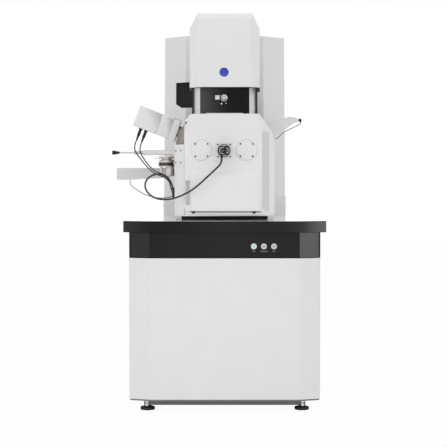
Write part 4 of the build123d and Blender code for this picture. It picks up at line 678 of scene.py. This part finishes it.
# feet: hexagon nuts and threads on the studs
footBodies = {
    "foot_front_left": "front_left_foot", "foot_front_right": "front_right_foot",
    "foot_rear_left": "rear_left_foot", "foot_rear_right": "rear_right_foot",
}
for node, body in footBodies.items():
    corners = [nodes[node].matrix_world @ Vector(c) for c in nodes[node].bound_box]
    middle = sum(corners, Vector()) / 8
    bm = bmesh.new()
    hexNut(bm, Vector((middle.x, middle.y, 0.0185)), upward, 19, 7)
    hexNut(bm, Vector((middle.x, middle.y, 0.0365)), upward, 30, 8)
    for k in range(6):
        ridge = Vector((middle.x, middle.y, 0.0265 + 0.0018 * k))
        addTurned(bm, [(6.05, 0), (6.7, 0.6), (6.05, 1.2)], ridge, upward, 32)
    pieceFrom(node + "Nuts", bm, body, "chrome")

# bright spindles before the kick board, which hides the front feet's own studs
spindle = dict(x=327, y=82, z=20, profile=[
    (0, 0), (8, 0), (8, 11), (5, 12), (5, 15), (9.6, 16), (9.6, 25), (6, 26), (6, 31), (0, 31),
])
bm = bmesh.new()
for side in (-1, 1):
    addTurned(bm, spindle["profile"], at(side * spindle["x"], spindle["y"], spindle["z"]), upward, 28)
pieceFrom("frontSpindles", bm, "machine", "chrome")

# screws on the left bevel's port
flange = nodes["side_port_flange"]
facing = max(flange.data.polygons, key=lambda p: p.area * max(0, -p.normal.x - p.normal.y))
outward = facing.normal.copy()
along = Vector(upward).cross(outward).normalized()
middle = sum((flange.matrix_world @ Vector(c) for c in flange.bound_box), Vector()) / 8
middle += outward * (facing.center - middle).dot(outward)
bevelSpots = [middle + along * a + Vector((0, 0, b)) for a in (-0.025, 0.025) for b in (-0.025, 0.025)]
screwSet("bevelPortScrews", bevelSpots, outward, "machine", 3.2, 2.6, "dark_steel")

# the guide rods' black ends in the slit under the door block
bm = bmesh.new()
for x in (-132, 124):
    addTurned(bm, [(0, 4), (7.4, 4), (8.4, 3), (8.4, 0), (0, 0)], at(x, 121.9, 836), forward, 32)
pieceFrom("rodCaps", bm, "stage_door", "black_plastic")

# left detector: screws, seam plate, dark strip on the top edge
detectorSpots = [at(*onDetector(a, c, -detector["depth"] / 2)) for a in (12, 62, 82, 158) for c in (-38, 38)]
screwSet("detectorScrews", detectorSpots, forward, "machine", 2.6, 1.8, "steel")
detectorPlates = dict(
    detectorNeck=(((0.5, -45.5), (0.5, 46.5), (-26, 46.5), (-30, -45.5)), 47, "white_plastic"),
    detectorStrip=(((3, 46.4), (3, 49), (-25, 49), (-25, 46.4)), 14, "black_plastic"),
)
for name, (spots, half, slotName) in detectorPlates.items():
    bm = bmesh.new()
    outline = [onDetector(a, c)[::2] for a, c in spots]
    addPlate(bm, outline, detector["y"] - half, detector["y"] + half, "y")
    pieceFrom(name, bm, "machine", slotName)

# valve stack: dark drive ring, bright clamp rings, bolts and the little lever
valve = dict(x=-255, y=340, band=1030.5, rings=(1047, 1053.5, 1060, 1066), bolts=8, boltCircle=28, top=1071)
bm = bmesh.new()
bandProfile = [(20, 0), (33.5, 0), (33.5, 14.5), (20, 14.5)]
addTurned(bm, bandProfile, at(valve["x"], valve["y"], valve["band"]), upward, 64)
pieceFrom("valveBand", bm, "machine", "dark_paint", finishes["valve_brown"])
bm = bmesh.new()
ringProfile = [(20, 0), (33.3, 0), (33.8, 0.6), (33.8, 2), (33.3, 2.6), (20, 2.6)]
for z in valve["rings"]:
    addTurned(bm, ringProfile, at(valve["x"], valve["y"], z), upward, 64)
for k in range(valve["bolts"]):
    angle = 2 * math.pi * k / valve["bolts"]
    x = valve["x"] + valve["boltCircle"] * math.cos(angle)
    y = valve["y"] + valve["boltCircle"] * math.sin(angle)
    addCapScrew(bm, at(x, y, valve["top"]), upward, 2.8, 2.8)
leverProfile = [(0, 0), (1.5, 0), (1.5, 14), (2.4, 15), (2.4, 18), (0, 18)]
addTurned(bm, leverProfile, at(-287, 330, 1064), (-1, 0, 0), 16)
pieceFrom("valveRings", bm, "machine", "aluminium", finishes["pale_metal"])

# rows of screws on the back and the sides
backScrews = dict(tower=985, towerX=262, towerTop=1608, cabinet=950, cabinetX=385, side=400)
towerSpots = [
    at(s * backScrews["towerX"], backScrews["tower"], z) for s in (-1, 1) for z in range(930, 1610, 110)
] + [at(x, backScrews["tower"], backScrews["towerTop"]) for x in (-130, 0, 130)]
screwSet("towerScrews", towerSpots, rearward, "machine", 3.4, 1.8, "steel")
cabinetSpots = [
    at(s * backScrews["cabinetX"], backScrews["cabinet"], z) for s in (-1, 1) for z in range(70, 750, 110)
] + [at(x, backScrews["cabinet"], z) for x in (-200, 0, 200) for z in (64, 743)]
screwSet("cabinetScrews", cabinetSpots, rearward, "machine", 3.4, 1.8, "steel")
bm = bmesh.new()
for side in (-1, 1):
    for y in (150, 915):
        for z in (90, 400, 715):
            addCapScrew(bm, at(side * backScrews["side"], y, z), (side, 0, 0), 3.4, 1.8)
pieceFrom("sidePanelScrews", bm, "machine", "steel")

# mains inlet, the tower's sockets and the base plate's plugs
mains = dict(
    frame=((-352, 950, 94), (-288, 953, 132), 1.5),
    socket=((-344, 952.5, 100), (-312, 956, 126), 1.5),
)
blocksPiece("mainsInlet", mains.values(), "machine", "black_plastic")
pins = [
    ((-334 + 7 * k, 955.8, 109 + 4 * (k % 2)), (-332 + 7 * k, 958, 116 + 4 * (k % 2)), 0.2) for k in range(3)
]
mainsSwitch = ((-306, 952.6, 103), (-294, 955.4, 123), 1)
blocksPiece("mainsPins", [*pins, mainsSwitch], "machine", "steel")
sockets = dict(first=-120, pitch=48, count=6, back=985, z=935)
bm = bmesh.new()
for k in range(sockets["count"]):
    spot = at(sockets["first"] + sockets["pitch"] * k, sockets["back"], sockets["z"])
    hexNut(bm, spot, rearward, 16, 4)
    addTurned(bm, [(0, 12), (3.4, 12), (3.4, 9), (5.6, 9), (6, 8.6), (6, 0)], spot, rearward, 24)
pieceFrom("towerSockets", bm, "machine", "chrome")
bm = bmesh.new()
for y in (690, 915):
    for side in (-1, 1):
        profile = [(0, 1.6), (5.4, 1.6), (6.4, 1), (6.6, 0), (0, 0)]
        addTurned(bm, profile, at(side * 283.5, y, 846), (side, 0, 0), 28)
pieceFrom("basePlugs", bm, "machine", "grey_plastic")
print("small parts fitted")

# floor, backdrop and lamps
studio = dict(reach=14, floorGlow=0.96, room=0.72, backdrop=1.0)
floorMesh = bpy.data.meshes.new("floor")
corners = [(x * studio["reach"], y * studio["reach"], 0) for x, y in ((-1, -1), (1, -1), (1, 1), (-1, 1))]
floorMesh.from_pydata(corners, [], [(0, 1, 2, 3)])
floor = bpy.data.objects.new("floor", floorMesh)
scene.collection.objects.link(floor)
paleFloor = bpy.data.materials.new("paleFloor")
paleFloor.use_nodes = True
tree = paleFloor.node_tree
floorShader = tree.nodes["Principled BSDF"]
floorShader.inputs["Base Color"].default_value = (0.86, 0.86, 0.87, 1)
floorShader.inputs["Roughness"].default_value = 0.9
rays = tree.nodes.new("ShaderNodeLightPath")
glow = tree.nodes.new("ShaderNodeEmission")
glow.inputs["Color"].default_value = (1, 1, 1, 1)
blendIn = tree.nodes.new("ShaderNodeMixShader")
seen = tree.nodes.new("ShaderNodeMath")
seen.operation = "MULTIPLY"
seen.inputs[1].default_value = studio["floorGlow"]
tree.links.new(rays.outputs["Is Camera Ray"], seen.inputs[0])
tree.links.new(seen.outputs[0], blendIn.inputs[0])
tree.links.new(floorShader.outputs[0], blendIn.inputs[1])
tree.links.new(glow.outputs[0], blendIn.inputs[2])
tree.links.new(blendIn.outputs[0], tree.nodes["Material Output"].inputs[0])
floorMesh.materials.append(paleFloor)

world = bpy.data.worlds.new("studio")
world.use_nodes = True
scene.world = world
tree = world.node_tree
room = tree.nodes["Background"]
room.inputs["Color"].default_value = (1, 1, 1, 1)
room.inputs["Strength"].default_value = studio["room"]
white = tree.nodes.new("ShaderNodeBackground")
white.inputs["Color"].default_value = (1, 1, 1, 1)
white.inputs["Strength"].default_value = studio["backdrop"]
rays = tree.nodes.new("ShaderNodeLightPath")
first = tree.nodes.new("ShaderNodeMath")
first.operation = "MAXIMUM"
second = tree.nodes.new("ShaderNodeMath")
second.operation = "MAXIMUM"
mixWorld = tree.nodes.new("ShaderNodeMixShader")
tree.links.new(rays.outputs["Is Camera Ray"], first.inputs[0])
tree.links.new(rays.outputs["Is Glossy Ray"], first.inputs[1])
tree.links.new(first.outputs[0], second.inputs[0])
tree.links.new(rays.outputs["Is Transmission Ray"], second.inputs[1])
tree.links.new(second.outputs[0], mixWorld.inputs[0])
tree.links.new(room.outputs[0], mixWorld.inputs[1])
tree.links.new(white.outputs[0], mixWorld.inputs[2])
tree.links.new(mixWorld.outputs[0], tree.nodes["World Output"].inputs[0])

darkBench = bpy.data.collections.new("darkBench")  # the shine lamps reach only the graphite pieces
for node in ("bench_slab", "fascia"):
    darkBench.objects.link(soft[node])
lamps = {
    "rightSoftbox": dict(place=(3.0, -1.6, 2.2), aim=(0, 0, 1.25), size=1.6, power=13, spread=170),
    "leftSoftbox": dict(place=(-3.0, -2.0, 2.1), aim=(0, 0, 1.2), size=1.6, power=19, spread=170),
    "topSoftbox": dict(place=(0.2, -1.2, 3.8), aim=(0, 0, 1.0), size=2.2, power=9, spread=170),
    "lowSoftbox": dict(place=(0.0, -3.4, 0.5), aim=(0, 0, 0.35), size=1.4, power=1.5, spread=60),
    "rightShine": dict(place=(3.0, -3.5, 0.6), aim=(0.38, -0.46, 0.72), size=1.6, power=130, spread=170,
                       shineOnly=True),
    "leftShine": dict(place=(-3.0, -3.5, 0.6), aim=(-0.38, -0.46, 0.72), size=1.6, power=30, spread=170,
                      shineOnly=True),
}
for name, setting in lamps.items():
    light = bpy.data.lights.new(name, "AREA")
    light.size = setting["size"]
    light.energy = setting["power"]
    light.spread = math.radians(setting["spread"])
    lamp = bpy.data.objects.new(name, light)
    lamp.location = setting["place"]
    sight = Vector(setting["aim"]) - Vector(setting["place"])
    lamp.rotation_euler = sight.to_track_quat("-Z", "Y").to_euler()
    if setting.get("shineOnly"):
        lamp.visible_diffuse = False
        lamp.light_linking.receiver_collection = darkBench
    lamp.visible_camera = False
    scene.collection.objects.link(lamp)
print("stage lit")
